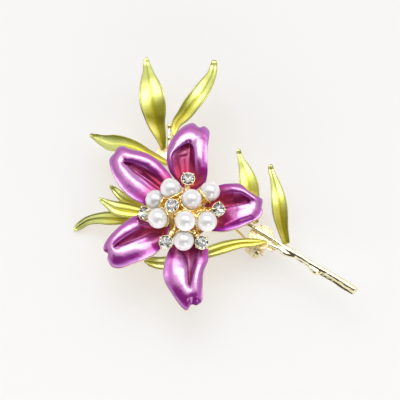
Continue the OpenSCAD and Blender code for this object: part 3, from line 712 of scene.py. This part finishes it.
# Edge of each petal in millimetres from the flower's centre: x, y, z, clockwise from the root
PETAL_EDGES = {
    "petal_left": [
        (-3.0, 3.7, 7.5), (-2.4, 5.9, 7.6), (-3.2, 7.7, 7.9), (-4.4, 9.2, 8.2), (-5.7, 10.6, 8.5),
        (-7.2, 11.6, 8.8), (-8.9, 12.2, 8.9), (-11.0, 12.7, 8.8), (-12.6, 13.5, 8.5),
        (-13.8, 13.2, 8.2), (-14.4, 12.1, 8.1), (-15.3, 11.0, 8.0), (-15.2, 9.3, 8.2),
        (-14.4, 6.9, 8.5), (-12.9, 4.4, 8.6), (-11.0, 2.6, 8.4), (-8.9, 1.6, 8.0), (-7.1, 1.3, 7.6),
    ],
    "petal_top": [
        (0.6, 4.2, 7.5), (-2.7, 7.3, 7.9), (-3.7, 9.3, 8.4), (-3.9, 11.3, 8.7), (-3.5, 13.6, 9.0),
        (-2.2, 15.9, 9.0), (-0.6, 17.6, 8.8), (1.3, 18.4, 8.6), (2.6, 17.6, 8.4),
        (3.7, 17.7, 8.6), (4.7, 16.4, 8.9), (4.5, 14.1, 9.2), (4.2, 11.7, 9.2),
        (4.3, 9.1, 8.9), (4.2, 7.2, 8.3), (3.5, 5.7, 7.7),
    ],
    "petal_right": [
        (3.6, 0.6, 7.5), (5.3, 4.6, 7.8), (7.1, 5.4, 8.4), (9.1, 5.5, 8.8), (10.8, 5.3, 9.0),
        (12.3, 4.0, 9.0), (13.8, 3.0, 8.8), (15.1, 2.2, 8.5), (15.0, 0.8, 8.1),
        (15.1, -0.5, 8.1), (14.2, -1.8, 8.2), (12.5, -2.7, 8.4), (10.5, -3.7, 8.5),
        (8.3, -4.3, 8.4), (6.3, -4.3, 8.1), (4.5, -3.5, 7.7),
    ],
    "petal_bottom": [
        (0.3, -4.2, 7.5), (3.2, -5.9, 7.6), (4.3, -7.6, 8.0), (4.4, -10.1, 8.3), (3.5, -12.6, 8.3),
        (3.3, -15.3, 8.0), (3.3, -17.9, 7.7), (2.3, -19.1, 7.5), (1.1, -19.0, 7.4),
        (0.2, -20.1, 7.5), (-1.1, -19.2, 7.7), (-2.6, -17.1, 8.0), (-4.2, -14.4, 8.4),
        (-4.4, -11.8, 8.4), (-3.6, -8.6, 8.1), (-2.3, -6.5, 7.6),
    ],
    "petal_low_left": [
        (-3.4, -2.6, 7.5), (-4.5, -6.7, 7.6), (-5.7, -8.6, 8.1), (-7.8, -10.0, 8.3), (-10.3, -11.0, 8.3),
        (-12.6, -11.8, 8.2), (-14.4, -11.5, 8.0), (-15.3, -10.1, 8.0), (-15.3, -8.8, 7.9),
        (-16.1, -8.2, 8.0), (-16.0, -6.9, 8.2), (-14.9, -5.2, 8.6), (-13.2, -3.5, 8.8),
        (-11.2, -1.8, 8.6), (-9.5, -1.0, 8.2), (-7.5, -2.2, 7.6),
    ],
}

# Deepest line of each petal's hollow: root, middle and end, as x, y, z
PETAL_FLOORS = {
    "petal_left": [(-4.2, 4.2, 7.5), (-9.2, 7.7, 7.8), (-12.1, 9.8, 8.1)],
    "petal_top": [(0.5, 5.6, 7.5), (0.5, 10.2, 7.9), (0.7, 13.2, 8.25)],
    "petal_right": [(4.8, 0.3, 7.5), (9.9, 1.3, 7.8), (12.3, 1.7, 8.1)],
    "petal_bottom": [(0.5, -5.6, 7.5), (0.6, -11.8, 7.8), (0.75, -15.0, 7.8)],
    "petal_low_left": [(-4.6, -3.3, 7.5), (-9.3, -5.5, 7.8), (-13.4, -7.2, 8.0)],
}

# Rim of each hollow: x, y from the root along one side to the end, and back along the other side
PETAL_HOLLOWS = {
    "petal_left": [
        (-4.4, 6.1), (-5.6, 7.2), (-6.9, 8.1), (-8.4, 8.9), (-10.0, 9.5), (-11.3, 9.8), (-12.4, 9.8),
        (-11.5, 9.0), (-10.2, 7.7), (-8.8, 6.8), (-7.5, 5.7), (-6.1, 4.7), (-5.0, 3.8),
    ],
    "petal_top": [
        (-2.6, 7.7), (-2.75, 9.6), (-2.85, 10.8), (-2.5, 11.6), (-1.8, 12.3), (-0.9, 13.1), (-0.2, 13.6),
        (0.6, 13.9), (1.1, 13.3), (1.4, 12.0), (1.5, 10.7), (1.7, 9.5), (2.0, 8.3),
    ],
    "petal_right": [
        (6.0, 2.9), (8.1, 3.4), (9.5, 3.3), (10.7, 3.1), (11.7, 2.6), (12.6, 1.7),
        (10.7, 1.1), (9.0, 0.8), (7.1, 0.3), (5.6, -0.2),
    ],
    "petal_bottom": [
        (2.7, -7.2), (2.1, -8.9), (1.9, -11.0), (1.4, -13.0), (0.8, -15.5),
        (0.5, -13.4), (0.2, -11.0), (-0.2, -9.8), (-0.7, -8.6), (-1.5, -7.0),
    ],
    "petal_low_left": [
        (-5.2, -4.7), (-7.0, -4.8), (-9.4, -5.9), (-11.5, -6.8), (-13.8, -7.6),
        (-13.5, -7.0), (-12.3, -6.0), (-11.0, -5.0), (-9.6, -4.0), (-8.3, -3.1),
    ],
}

# Folds pressed into each petal: from x, y, to x, y, height (a groove is below zero) and half width
PETAL_FOLDS = {
    "petal_left": [
        (-10.1, 7.0, -6.5, 4.3, -0.08, 0.30),
        (-11.2, 9.5, -9.0, 8.5, 0.12, 0.35),
        (-9.0, 8.5, -5.1, 5.4, 0.12, 0.35),
    ],
    "petal_top": [
        (-2.1, 10.6, -1.1, 7.1, 0.22, 0.45),
        (-0.6, 10.8, -0.4, 7.9, 0.12, 0.32),
        (-2.3, 11.1, 0.0, 12.0, 0.12, 0.38),
        (3.1, 17.5, 3.4, 15.0, -0.12, 0.35),
    ],
    "petal_right": [
        (8.0, 0.5, 12.2, 1.1, 0.16, 0.35),
        (6.0, -1.0, 12.0, 0.3, -0.08, 0.70),
        (7.6, -3.0, 12.8, -1.2, 0.24, 0.60),
        (8.0, 2.1, 9.3, 2.9, 0.14, 0.35),
    ],
    "petal_bottom": [
        (2.5, -14.4, 2.3, -17.6, 0.08, 0.90),
        (2.2, -18.0, 2.1, -18.2, 0.12, 0.50),
        (-1.5, -6.9, -1.3, -9.0, 0.10, 0.35),
    ],
    "petal_low_left": [
        (-12.8, -7.9, -7.6, -5.5, 0.14, 0.34),
    ],
}

# Cross-sections as share of the way out and share of the crest's height: up the side of the hollow, over
# the crest to the edge on the petal's far side and on its near side, and underneath
HOLLOW_SIDE = [(0.0, 0.0), (0.15, 0.03), (0.4, 0.13), (0.65, 0.28), (0.85, 0.50), (1.0, 0.70)]
CREST_FAR = [
    (0.0, 0.72), (0.13, 0.94), (0.25, 1.0), (0.42, 0.97), (0.6, 0.81), (0.8, 0.50), (0.9, 0.30),
    (1.0, 0.02),
]
CREST_NEAR = [
    (0.0, 0.70), (0.15, 0.92), (0.28, 1.0), (0.42, 0.95), (0.56, 0.80), (0.7, 0.58), (0.82, 0.40),
    (0.92, 0.30), (1.0, 0.26),
]
UNDERSIDE = [(0.0, 0.2), (0.16, 0.05), (0.42, 0.7), (0.68, 1.0), (0.88, 0.6), (1.0, 0.1)]
UNDERSIDE_LIFT = 0.6
NEAR_SIDE_BELOW = 0.55
PETAL_STEPS = 16
EDGE_SMOOTHING = 41
REACH_SMOOTHING = 7
LEAST_REACH = 0.06
MOST_REACH = 0.8
LOBES_FROM = 0.66
LOBES_OVER = 0.32
ROWS_UP_HOLLOW = np.linspace(0.04, 1, 16)
ROWS_OVER_CREST = np.linspace(0, 0.985, 28)[1:]
ROWS_UNDERNEATH = np.array([0.03, 0.2, 0.4, 0.6, 0.8, 0.95])
RIM_DROPS = (1.0, 0.7, 0.3)


def section_height(reach, section):
    """Height of a cross-section at some share of the way out, on a smooth curve through its rows."""
    xs, ys = np.array(section).T
    slopes = np.gradient(ys, xs)
    i = np.clip(np.searchsorted(xs, reach) - 1, 0, len(xs) - 2)
    width = xs[i + 1] - xs[i]
    t = (reach - xs[i]) / width
    start = (1 + 2 * t) * (1 - t) ** 2 * ys[i] + t * (1 - t) ** 2 * width * slopes[i]
    end = t * t * (3 - 2 * t) * ys[i + 1] + t * t * (t - 1) * width * slopes[i + 1]
    return start + end


def smoothed_round(values, width):
    """A closed loop of values, each a soft average of its neighbours."""
    window = np.hanning(width + 2)[1:-1]
    beyond = width // 2
    wrapped = np.concatenate([values[-beyond:], values, values[:beyond]])
    return np.convolve(wrapped, window / window.sum(), "valid")


def crossed(a, b):
    """The cross product of two directions in the plane."""
    return a[0] * b[1] - a[1] * b[0]


def hollow_reach(foot, edge, rim):
    """Where each line from the hollow's deepest line to the petal's edge crosses the hollow's rim."""
    rim = spline([(*row, 0) for row in rim], 4)[:, :2]
    reach = np.full(len(edge), np.nan)
    for k, (a, b) in enumerate(zip(foot[:, :2], edge[:, :2])):
        for p, q in zip(rim[:-1], rim[1:]):
            slant = crossed(b - a, q - p)
            if abs(slant) < 1e-9:
                continue
            along_line = crossed(p - a, q - p) / slant
            along_rim = crossed(p - a, b - a) / slant
            if 0 < along_line < 1 and 0 <= along_rim <= 1:
                reach[k] = along_line
    known = np.flatnonzero(~np.isnan(reach))
    filled = np.interp(np.arange(len(reach)), known, reach[known], period=len(reach))
    return np.clip(smoothed_round(filled, REACH_SMOOTHING), LEAST_REACH, MOST_REACH)


def fold_height(points, folds):
    """How far the folds raise or sink each point."""
    lift = np.zeros(points.shape[:-1])
    for from_x, from_y, to_x, to_y, height, half_width in folds:
        start = np.array((from_x, from_y))
        run = np.array((to_x, to_y)) - start
        away = points[..., :2] - start
        place = np.clip(away @ run / (run @ run), 0, 1)
        distance = np.linalg.norm(away - place[..., None] * run, axis=-1)
        lift += height * np.exp(-((distance / half_width) ** 2))
    return lift


def petal_grid(name):
    """Rings of points round the back, the rim and the face, and how far out of the hollow each ring is."""
    edge = spline(PETAL_EDGES[name], PETAL_STEPS, closed=True)[::-1]
    floor = np.array(PETAL_FLOORS[name])
    run = (floor[-1] - floor[0])[:2]
    along = soft_share(((edge[:, :2] - floor[0, :2]) @ run) / (run @ run))
    place = np.clip(along, 0, 1) * (len(floor) - 1)
    foot = np.stack([np.interp(place, range(len(floor)), floor[:, k]) for k in range(3)], axis=1)
    crest = PETAL_CREST * (ROOT_CREST_SHARE + (1 - ROOT_CREST_SHARE) * ease(along / WHOLE_CREST_AT))
    rim_reach = hollow_reach(foot, edge, PETAL_HOLLOWS[name])
    inner_edge = np.stack([smoothed_round(edge[:, k], EDGE_SMOOTHING) for k in range(3)], axis=1)
    outward = unit((inner_edge - foot)[:, :2])
    near = ease(NEAR_SIDE_BELOW - outward[:, 1])
    edge_share = near * CREST_NEAR[-1][1] + (1 - near) * CREST_FAR[-1][1]
    layers = []
    for reach in ROWS_UNDERNEATH:
        ring = foot + (edge - foot) * reach
        ring[:, 2] += UNDERSIDE_LIFT * crest * section_height(reach, UNDERSIDE)
        ring[:, 2] -= PETAL_THICK + (PETAL_EDGE - PETAL_THICK) * reach
        layers.append((ring, 1.0))
    for drop in RIM_DROPS:
        ring = edge.copy()
        ring[:, 2] += crest * edge_share - drop * PETAL_EDGE
        layers.append((ring, 1.0))
    for reach in ROWS_OVER_CREST[::-1]:
        lobes = ease((reach - LOBES_FROM) / LOBES_OVER)
        from_foot = rim_reach + (1 - rim_reach) * reach
        ring = foot + (lobes * edge + (1 - lobes) * inner_edge - foot) * from_foot[:, None]
        share = near * section_height(reach, CREST_NEAR) + (1 - near) * section_height(reach, CREST_FAR)
        ring[:, 2] += crest * share
        ring[:, 2] += fold_height(ring, PETAL_FOLDS[name])
        layers.append((ring, reach))
    for reach in ROWS_UP_HOLLOW[::-1]:
        ring = foot + (inner_edge - foot) * (rim_reach * reach)[:, None]
        ring[:, 2] += crest * section_height(reach, HOLLOW_SIDE)
        ring[:, 2] += fold_height(ring, PETAL_FOLDS[name])
        layers.append((ring, reach - 1))
    rings, out = zip(*layers)
    return np.array(rings), np.array(out)


def laced_ends(count, rings):
    """The first and the last ring closed by strips from one side to the other, as a petal is long."""
    last = (rings - 1) * count
    ends = []
    for start in (0, last):
        for i in range(count // 2):
            corners = (i, i + 1, (count - i - 1) % count, (count - i) % count)
            ends.append(tuple(start + k for k in dict.fromkeys(corners)))
    return ends


petal_rim_gold = metal_finish("petal_rim_gold", (0.95, 0.70, 0.62), (0.95, 0.62, 0.45))
petal_purple, tree, shader = new_material(
    "petal_purple", 0.82, (0.5, 0.1, 0.45), 0.2, Coat_Weight=1.0, Coat_Roughness=0.15, Coat_IOR=3.05,
)
petal_film = finish_surface(
    tree, shader, enamel, 0.014,
    Body_colour=(0.41, 0.006, 0.36, 1), Clouded_colour=(0.31, 0.004, 0.33, 1),
    Pooled_colour=(0.28, 0.014, 0.095, 1), Edge_colour=(0.33, 0.015, 0.36, 1),
    Root_colour=(0.38, 0.03, 0.05, 1), Cloud_fineness=260.0, Smoothness=0.34,
)
join(tree, shader, Coat_Weight=share_mask(tree, "gloss", 0.0, 1.0))
join(
    tree, petal_film, Pooling=share_mask(tree, "enamel_depth", 0.0, 1.0),
    Edge=share_mask(tree, "out_of_hollow", 0.72, 0.92), Root=share_mask(tree, "from_centre", 11.5, 5.5),
)

# The side of the hollow that faces the camera, and a little of the flank outside the crest, are painted
# darker: painted shade. They are less glossy too, and so is the enamel near the root, by distance from
# the centre.
DEEP_BELOW = 0.1
DEEP_OVER = 0.35
DULL_BELOW = 0.3
DULL_OVER = 0.5
SHADED_BELOW = -0.05
SHADED_OVER = 0.25
UNSHADED_SHARE = 0.2
FLANK_AT = 0.76
FLANK_HALF_WIDTH = 0.2
FLANK_SHADE = 0.3
HOLLOW_DULLING = 0.75
FLANK_DULLING = 0.55
ROOT_DULLING = 0.8
DULL_ROOT_TO = 7.0
GLOSSY_FROM = 12.5

# The face is never quite even: height and size of its waves
PETAL_WAVES = [(0.05, 2.2), (0.015, 0.7)]
for name in PETAL_EDGES:
    rings, out = petal_grid(name)
    count = rings.shape[1]
    points, faces = skin(rings)
    points[:, 2] += sum(height * noise_at(points / size) for height, size in PETAL_WAVES)
    sides = faces[:-2]
    ends = laced_ends(count, len(rings))
    petal = add_piece(
        name + "_enamelled", points, sides + ends, [petal_purple, petal_rim_gold, gold_back],
        name,
    )
    back_faces = (len(ROWS_UNDERNEATH) - 1) * count
    rim_faces = back_faces + (len(RIM_DROPS) + 1) * count
    slots = np.zeros(len(petal.data.polygons), np.int32)
    slots[:back_faces] = 2
    slots[back_faces:rim_faces] = 1
    slots[len(sides):len(sides) + len(ends) // 2] = 2
    petal.data.polygons.foreach_set("material_index", slots)
    out = np.repeat(out, count)
    from_centre = np.linalg.norm(points[:, :2], axis=1)
    set_shares(petal, "out_of_hollow", out)
    set_shares(petal, "from_centre", from_centre)
    normals = rows_of(petal.data.vertex_normals, "vector")
    shaded = 1 - (1 - UNSHADED_SHARE) * ease((normals[:, 1] - SHADED_BELOW) / SHADED_OVER)
    on_flank = np.exp(-((out - FLANK_AT) / FLANK_HALF_WIDTH) ** 2)
    near_root = ease((GLOSSY_FROM - from_centre) / (GLOSSY_FROM - DULL_ROOT_TO))
    deep = shaded * ease((DEEP_BELOW - out) / DEEP_OVER)
    set_shares(petal, "enamel_depth", np.maximum(deep, FLANK_SHADE * on_flank))
    dull = HOLLOW_DULLING * shaded * ease((DULL_BELOW - out) / DULL_OVER) + FLANK_DULLING * on_flank
    set_shares(petal, "gloss", (1 - dull) * (1 - ROOT_DULLING * near_root))

# STAMENS
# One rough casting in deep gold at the flower's centre: a hub with a thick arm to each pearl and a thinner
# one to each stone. The arms to the pearls end in a shallow dish that the pearl is glued into.

# Pearl centres in millimetres from the flower's centre
PEARLS = [
    (-3.0, 3.4, 12.0), (-6.0, 1.7, 9.9), (1.1, 1.0, 12.4), (4.7, 3.1, 11.0),
    (-5.4, -2.6, 11.5), (-0.1, -3.6, 13.0), (4.1, -3.3, 11.7), (-0.4, -6.8, 10.5),
]
PEARL_RADIUS = 2.0

# Stones: x, y, z of the girdle, lean and heading of the setting, and the turn of its claws, in degrees
STONES = [
    (0.4, 5.8, 10.8, 8, 80, 50), (-2.7, -0.5, 13.1, 8, 190, 10), (6.4, -0.6, 11.1, 25, 330, 30),
    (-8.3, -1.0, 9.8, 40, 180, 10), (-3.9, -7.1, 10.4, 10, 240, 80), (3.1, -7.2, 10.4, 12, 300, 12),
]
# The hub from its foot up, as radius and height, and the lump on it, as x, y, z and radius
HUB = [(1.6, 6.56), (1.6, 7.6), (2.5, 7.7), (2.6, 7.9), (2.6, 8.3), (2.3, 8.6), (1.2, 9.0), (0.1, 9.1)]
HUB_LUMP = [(-0.6, -0.6, 8.4, 2.3), (0.6, -1.0, 9.6, 1.9), (0.9, -1.2, 10.6, 1.2)]
HUB_TOP = np.array((-0.6, -0.6, 8.8))
ARM_ROOT = 1.3
ARM_END = 0.95
ARM_WAIST = 0.75
WAIST_AT = 0.6
CUP_STEM = 0.5
CUP_DEPTH = 1.0
GLUE_GAP = 0.06
DISH_EDGE = 60
DISH_THICK = 0.34
CUP_MIDDLE = -0.1
CUP_CLEAR = 1.5

# The casting is lumpy all over: height and size of its lumps
STAMEN_LUMPS = [(0.16, 0.8), (0.08, 0.3)]


def setting_place(row):
    """Turns and moves a setting drawn upright at the origin to where it leans on the brooch."""
    x, y, z, lean, heading = row[:5]
    return (
        Matrix.Translation((x, y, z))
        @ Matrix.Rotation(math.radians(heading), 4, "Z")
        @ Matrix.Rotation(math.radians(lean), 4, "Y")
    )


def moved(points, place):
    """Points after a 4 by 4 matrix."""
    return np.asarray(points) @ np.array(place.to_3x3()).T + np.array(place.translation)


shells = [turned(HUB), rod(HUB_LUMP, sides=32)]
for pearl in PEARLS:
    away = unit(np.array(pearl) - HUB_TOP)
    end = np.array(pearl) - away * (PEARL_RADIUS + ARM_END)
    shells.append(rod([(*HUB_TOP, ARM_ROOT), (*end, ARM_END)]))
    bowl = [
        (radius * math.sin(math.radians(a)), -radius * math.cos(math.radians(a)))
        for radius, angles in (
            (PEARL_RADIUS + GLUE_GAP + DISH_THICK, (2, 18, 35, DISH_EDGE)),
            (PEARL_RADIUS + GLUE_GAP, (DISH_EDGE + 2, 35, 18, 2)),
        )
        for a in angles
    ]
    points, faces = turned(bowl, sides=40)
    place = Matrix.Translation(pearl) @ Vector(away).to_track_quat("Z", "Y").to_matrix().to_4x4()
    shells.append((moved(points, place), faces))
for stone in STONES:
    foot = np.array(setting_place(stone) @ Vector((0, 0, -CUP_DEPTH - GLUE_GAP - CUP_STEM)))
    waist = (1 - WAIST_AT) * HUB_TOP + WAIST_AT * foot
    shells.append(rod([(*HUB_TOP, ARM_ROOT), (*waist, ARM_WAIST), (*foot, CUP_STEM)]))
points, faces, normals = cast_in_one(shells, grain=0.09, softening=3)
lumps = sum(height * noise_at(points / size) for height, size in STAMEN_LUMPS)
points = points + normals * lumps[:, None]

# The casting keeps clear of every pearl and every cup
clear_of = [(pearl, PEARL_RADIUS + GLUE_GAP) for pearl in PEARLS]
clear_of += [(setting_place(stone) @ Vector((0, 0, CUP_MIDDLE)), CUP_CLEAR) for stone in STONES]
for centre, radius in clear_of:
    away = points - np.array(centre)
    distance = np.linalg.norm(away, axis=1, keepdims=True)
    points = np.where(distance < radius, np.array(centre) + away / distance * radius, points)
deep_gold = metal_finish(
    "deep_gold", (0.97, 0.80, 0.41), (0.92, 0.63, 0.20),
    cloud_fineness=420.0, ripple_fineness=1200.0, smoothness=0.16, bump=0.05,
)
add_piece("stamens_cast", points, faces, [deep_gold], "stamen_cluster")

# PEARLS
# Eight round imitation pearls: glass beads dipped in nacre lacquer, so that none is quite even in colour or
# quite round. Each is glued into its dish in the stamens' casting.
NACRE_CREAM = (0.62, 0.62, 0.62, 1)
NACRE_ROSE = (0.62, 0.61, 0.625, 1)
NACRE_HALO_AND_RIM_LIGHT = (0.97, 0.96, 0.95, 1)
nacre, tree, shader = new_material(
    "nacre", 0, (0.80, 0.78, 0.76), 0.35, Coat_Weight=1.0, Coat_Roughness=0.05, Coat_IOR=2.8,
    Subsurface_Weight=0.6, Subsurface_Radius=(1.0, 1.0, 1.0), Subsurface_Scale=1.6 * MM,
)
where = add_node(tree, "ShaderNodeTexCoord"), "Object"
lustre = add_node(tree, "ShaderNodeTexNoise", Scale=350.0, Detail=2.0, Vector=where), "Fac"
# Towards its outline each pearl turns paler: painted rim light, over the nacre's own halo.
edge_on = add_node(tree, "ShaderNodeLayerWeight", Blend=0.5), "Facing"
body = mix_colours(tree, lustre, NACRE_CREAM, NACRE_ROSE)
dimples = add_node(tree, "ShaderNodeBump", Strength=1.0, Distance=0.004 * MM, Height=lustre)
join(tree, shader, Base_Color=mix_colours(tree, edge_on, body, NACRE_HALO_AND_RIM_LIGHT), Normal=(dimples, "Normal"))

# Each pearl is a little out of round in its own way
PEARL_ROWS = 40
PEARL_SIDES = 80
PEARL_WAVE_HEIGHT = 0.012
PEARL_WAVE_SIZE = 1.6
PEARLS_APART_IN_NOISE = 7.3
angle = np.linspace(0.02, math.pi - 0.02, PEARL_ROWS)
half_circle = np.stack([PEARL_RADIUS * np.sin(angle), -PEARL_RADIUS * np.cos(angle)], axis=1)
ball_points, ball_faces = turned(half_circle, PEARL_SIDES)
for number, centre in enumerate(PEARLS, 1):
    waves = noise_at(ball_points / PEARL_WAVE_SIZE + number * PEARLS_APART_IN_NOISE)
    points = ball_points * (1 + PEARL_WAVE_HEIGHT * waves / PEARL_RADIUS)[:, None]
    add_piece(
        f"pearl_{number}_bead", points + np.array(centre), ball_faces, [nacre], f"pearl_{number}",
    )

# CLAW CUPS
# Six cast settings in pale gold. Each is a tapered cup with a rolled lip, and four claws that are bent
# over the stone's edge.
CUP_RADIUS = 1.36
CUP_FOOT = 0.75
CLAWS = 4
CLAW_RADIUS = 0.2

# A claw from its foot to its tip: reach from the cup's middle, height, radius
CLAW_ROWS = [
    (CUP_RADIUS - 0.02, -0.62, 0.12),
    (CUP_RADIUS + 0.1, -0.2, CLAW_RADIUS),
    (CUP_RADIUS + 0.08, 0.16, CLAW_RADIUS),
    (CUP_RADIUS - 0.08, 0.36, 0.19),
    (CUP_RADIUS - 0.26, 0.45, 0.16),
]
pale_gold = metal_finish(
    "pale_gold", (0.95, 0.90, 0.66), (0.93, 0.80, 0.46),
    cloud_fineness=500.0, ripple_fineness=1500.0, smoothness=0.06,
)

# The cup from its foot up over the lip and down inside, as radius and height
cup_wall = [
    (CUP_FOOT - 0.08, -CUP_DEPTH), (CUP_FOOT, -CUP_DEPTH + 0.06), (CUP_RADIUS - 0.03, -0.12),
    (CUP_RADIUS + 0.03, -0.03), (CUP_RADIUS, 0.04), (CUP_RADIUS - 0.07, 0.02),
    (0.36, -CUP_DEPTH + 0.24), (0.05, -CUP_DEPTH + 0.22),
]
for number, stone in enumerate(STONES, 1):
    shells = [turned(cup_wall, sides=48)]
    for k in range(CLAWS):
        turn = math.radians(stone[5] + 360 / CLAWS * k)
        claw = [(r * math.cos(turn), r * math.sin(turn), height, radius) for r, height, radius in CLAW_ROWS]
        shells.append(rod(claw, sides=16, steps=4))
    points, faces, normals = cast_in_one(shells, grain=0.05, softening=1)
    add_piece(
        f"claw_cup_{number}_cast", moved(points, setting_place(stone)), faces, [pale_gold],
        f"claw_cup_{number}",
    )

# STONES
# Six clear machine-cut glass stones, foiled at the back like a mirror and held by the claws. Every sixth
# back facet has a dark foil: painted shade for the dark reflections that some back facets show.
STONE_RADIUS = 1.25
STONE_LIFT = 0.04
GIRDLE = 0.08
TABLE_AT = 0.50
TABLE_RADIUS = 0.70
STAR_AT = 0.36
STAR_RADIUS = 1.02
CULET_AT = -0.42
LOWER_AT = -0.27
LOWER_RADIUS = 0.44
TURN_TO_NEXT_STONE = 9.0
DARK_FACET_EVERY = 6


def ring_of(count, first_degrees, radius, height):
    """Corners of one row of facets."""
    angle = math.radians(first_degrees) + np.arange(count) * 2 * math.pi / count
    return np.stack([radius * np.cos(angle), radius * np.sin(angle), np.full(count, height)], axis=1)


corners = np.concatenate([
    ring_of(8, 0, TABLE_RADIUS, TABLE_AT), ring_of(8, 22.5, STAR_RADIUS, STAR_AT),
    ring_of(16, 0, STONE_RADIUS, GIRDLE), ring_of(16, 0, STONE_RADIUS, 0),
    ring_of(8, 22.5, LOWER_RADIUS, LOWER_AT), [(0, 0, CULET_AT)],
])
TABLE_ROW, STAR_ROW, GIRDLE_ROW, UNDER_ROW, LOWER_ROW, CULET = 0, 8, 16, 32, 48, 56
crown = [tuple(range(8))]
pavilion = []
for k in range(8):
    after = (k + 1) % 8
    main, half_way, next_main = 2 * k, 2 * k + 1, (2 * k + 2) % 16
    crown += [
        (TABLE_ROW + k, STAR_ROW + k, TABLE_ROW + after),
        (TABLE_ROW + after, STAR_ROW + k, GIRDLE_ROW + next_main, STAR_ROW + after),
        (STAR_ROW + k, GIRDLE_ROW + main, GIRDLE_ROW + half_way),
        (STAR_ROW + k, GIRDLE_ROW + half_way, GIRDLE_ROW + next_main),
        (GIRDLE_ROW + main, UNDER_ROW + main, UNDER_ROW + half_way, GIRDLE_ROW + half_way),
        (GIRDLE_ROW + half_way, UNDER_ROW + half_way, UNDER_ROW + next_main, GIRDLE_ROW + next_main),
    ]
    pavilion += [
        (LOWER_ROW + k, UNDER_ROW + half_way, UNDER_ROW + main),
        (LOWER_ROW + k, UNDER_ROW + next_main, UNDER_ROW + half_way),
        (CULET, LOWER_ROW + after, UNDER_ROW + next_main, LOWER_ROW + k),
    ]
cut_glass = new_material("cut_glass", 0, (0.98, 0.99, 0.99), 0.0, Transmission_Weight=1.0, IOR=1.58)[0]
# A near-black foil: painted shade on some back facets.
shade_painted_foil = metal_finish(
    "shade_painted_foil", (0.16, 0.16, 0.15), (0.46, 0.45, 0.42),
    cloud_fineness=1400.0, ripple_fineness=1600.0, smoothness=0.02, bump=0.004,
)
foil = metal_finish(
    "foil", (0.97, 0.98, 0.96), (0.90, 0.90, 0.87),
    cloud_fineness=1100.0, ripple_fineness=1600.0, smoothness=0.02, bump=0.002,
)
for number, row in enumerate(STONES, 1):
    spin = Matrix.Rotation(math.radians(TURN_TO_NEXT_STONE * number), 4, "Z")
    turned_corners = moved(corners + (0, 0, STONE_LIFT), spin)
    stone = add_piece(
        f"stone_{number}_cut", moved(turned_corners, setting_place(row)), crown + pavilion,
        [cut_glass, foil, shade_painted_foil], f"stone_{number}", smooth=False,
    )
    slots = np.repeat((0, 1), (len(crown), len(pavilion))).astype(np.int32)
    slots[len(crown)::DARK_FACET_EVERY] = 2
    stone.data.polygons.foreach_set("material_index", slots)

# PIN, HINGE AND CATCH
# The pin is drawn wire on a rivet between two ears. Its point lies in a slotted sleeve that turns in a
# ring. The ears' pad and the ring's pad are rough castings soldered under the twig, all plated gold.
wire_gold = metal_finish(
    "wire_gold", (0.90, 0.80, 0.45), (0.86, 0.70, 0.32),
    cloud_fineness=150.0, ripple_fineness=600.0, smoothness=0.08, bump=0.006,
)
catch_gold = metal_finish(
    "catch_gold", (0.88, 0.84, 0.62), (0.80, 0.50, 0.15),
    cloud_fineness=420.0, ripple_fineness=1000.0, smoothness=0.12, bump=0.4,
)
for name, finish in (
    ("pin_wire", wire_gold), ("hinge_rivet", wire_gold), ("catch_sleeve", wire_gold),
    ("hinge_block", catch_gold), ("catch_ring", catch_gold),
):
    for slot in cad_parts[name].material_slots:
        slot.material = finish
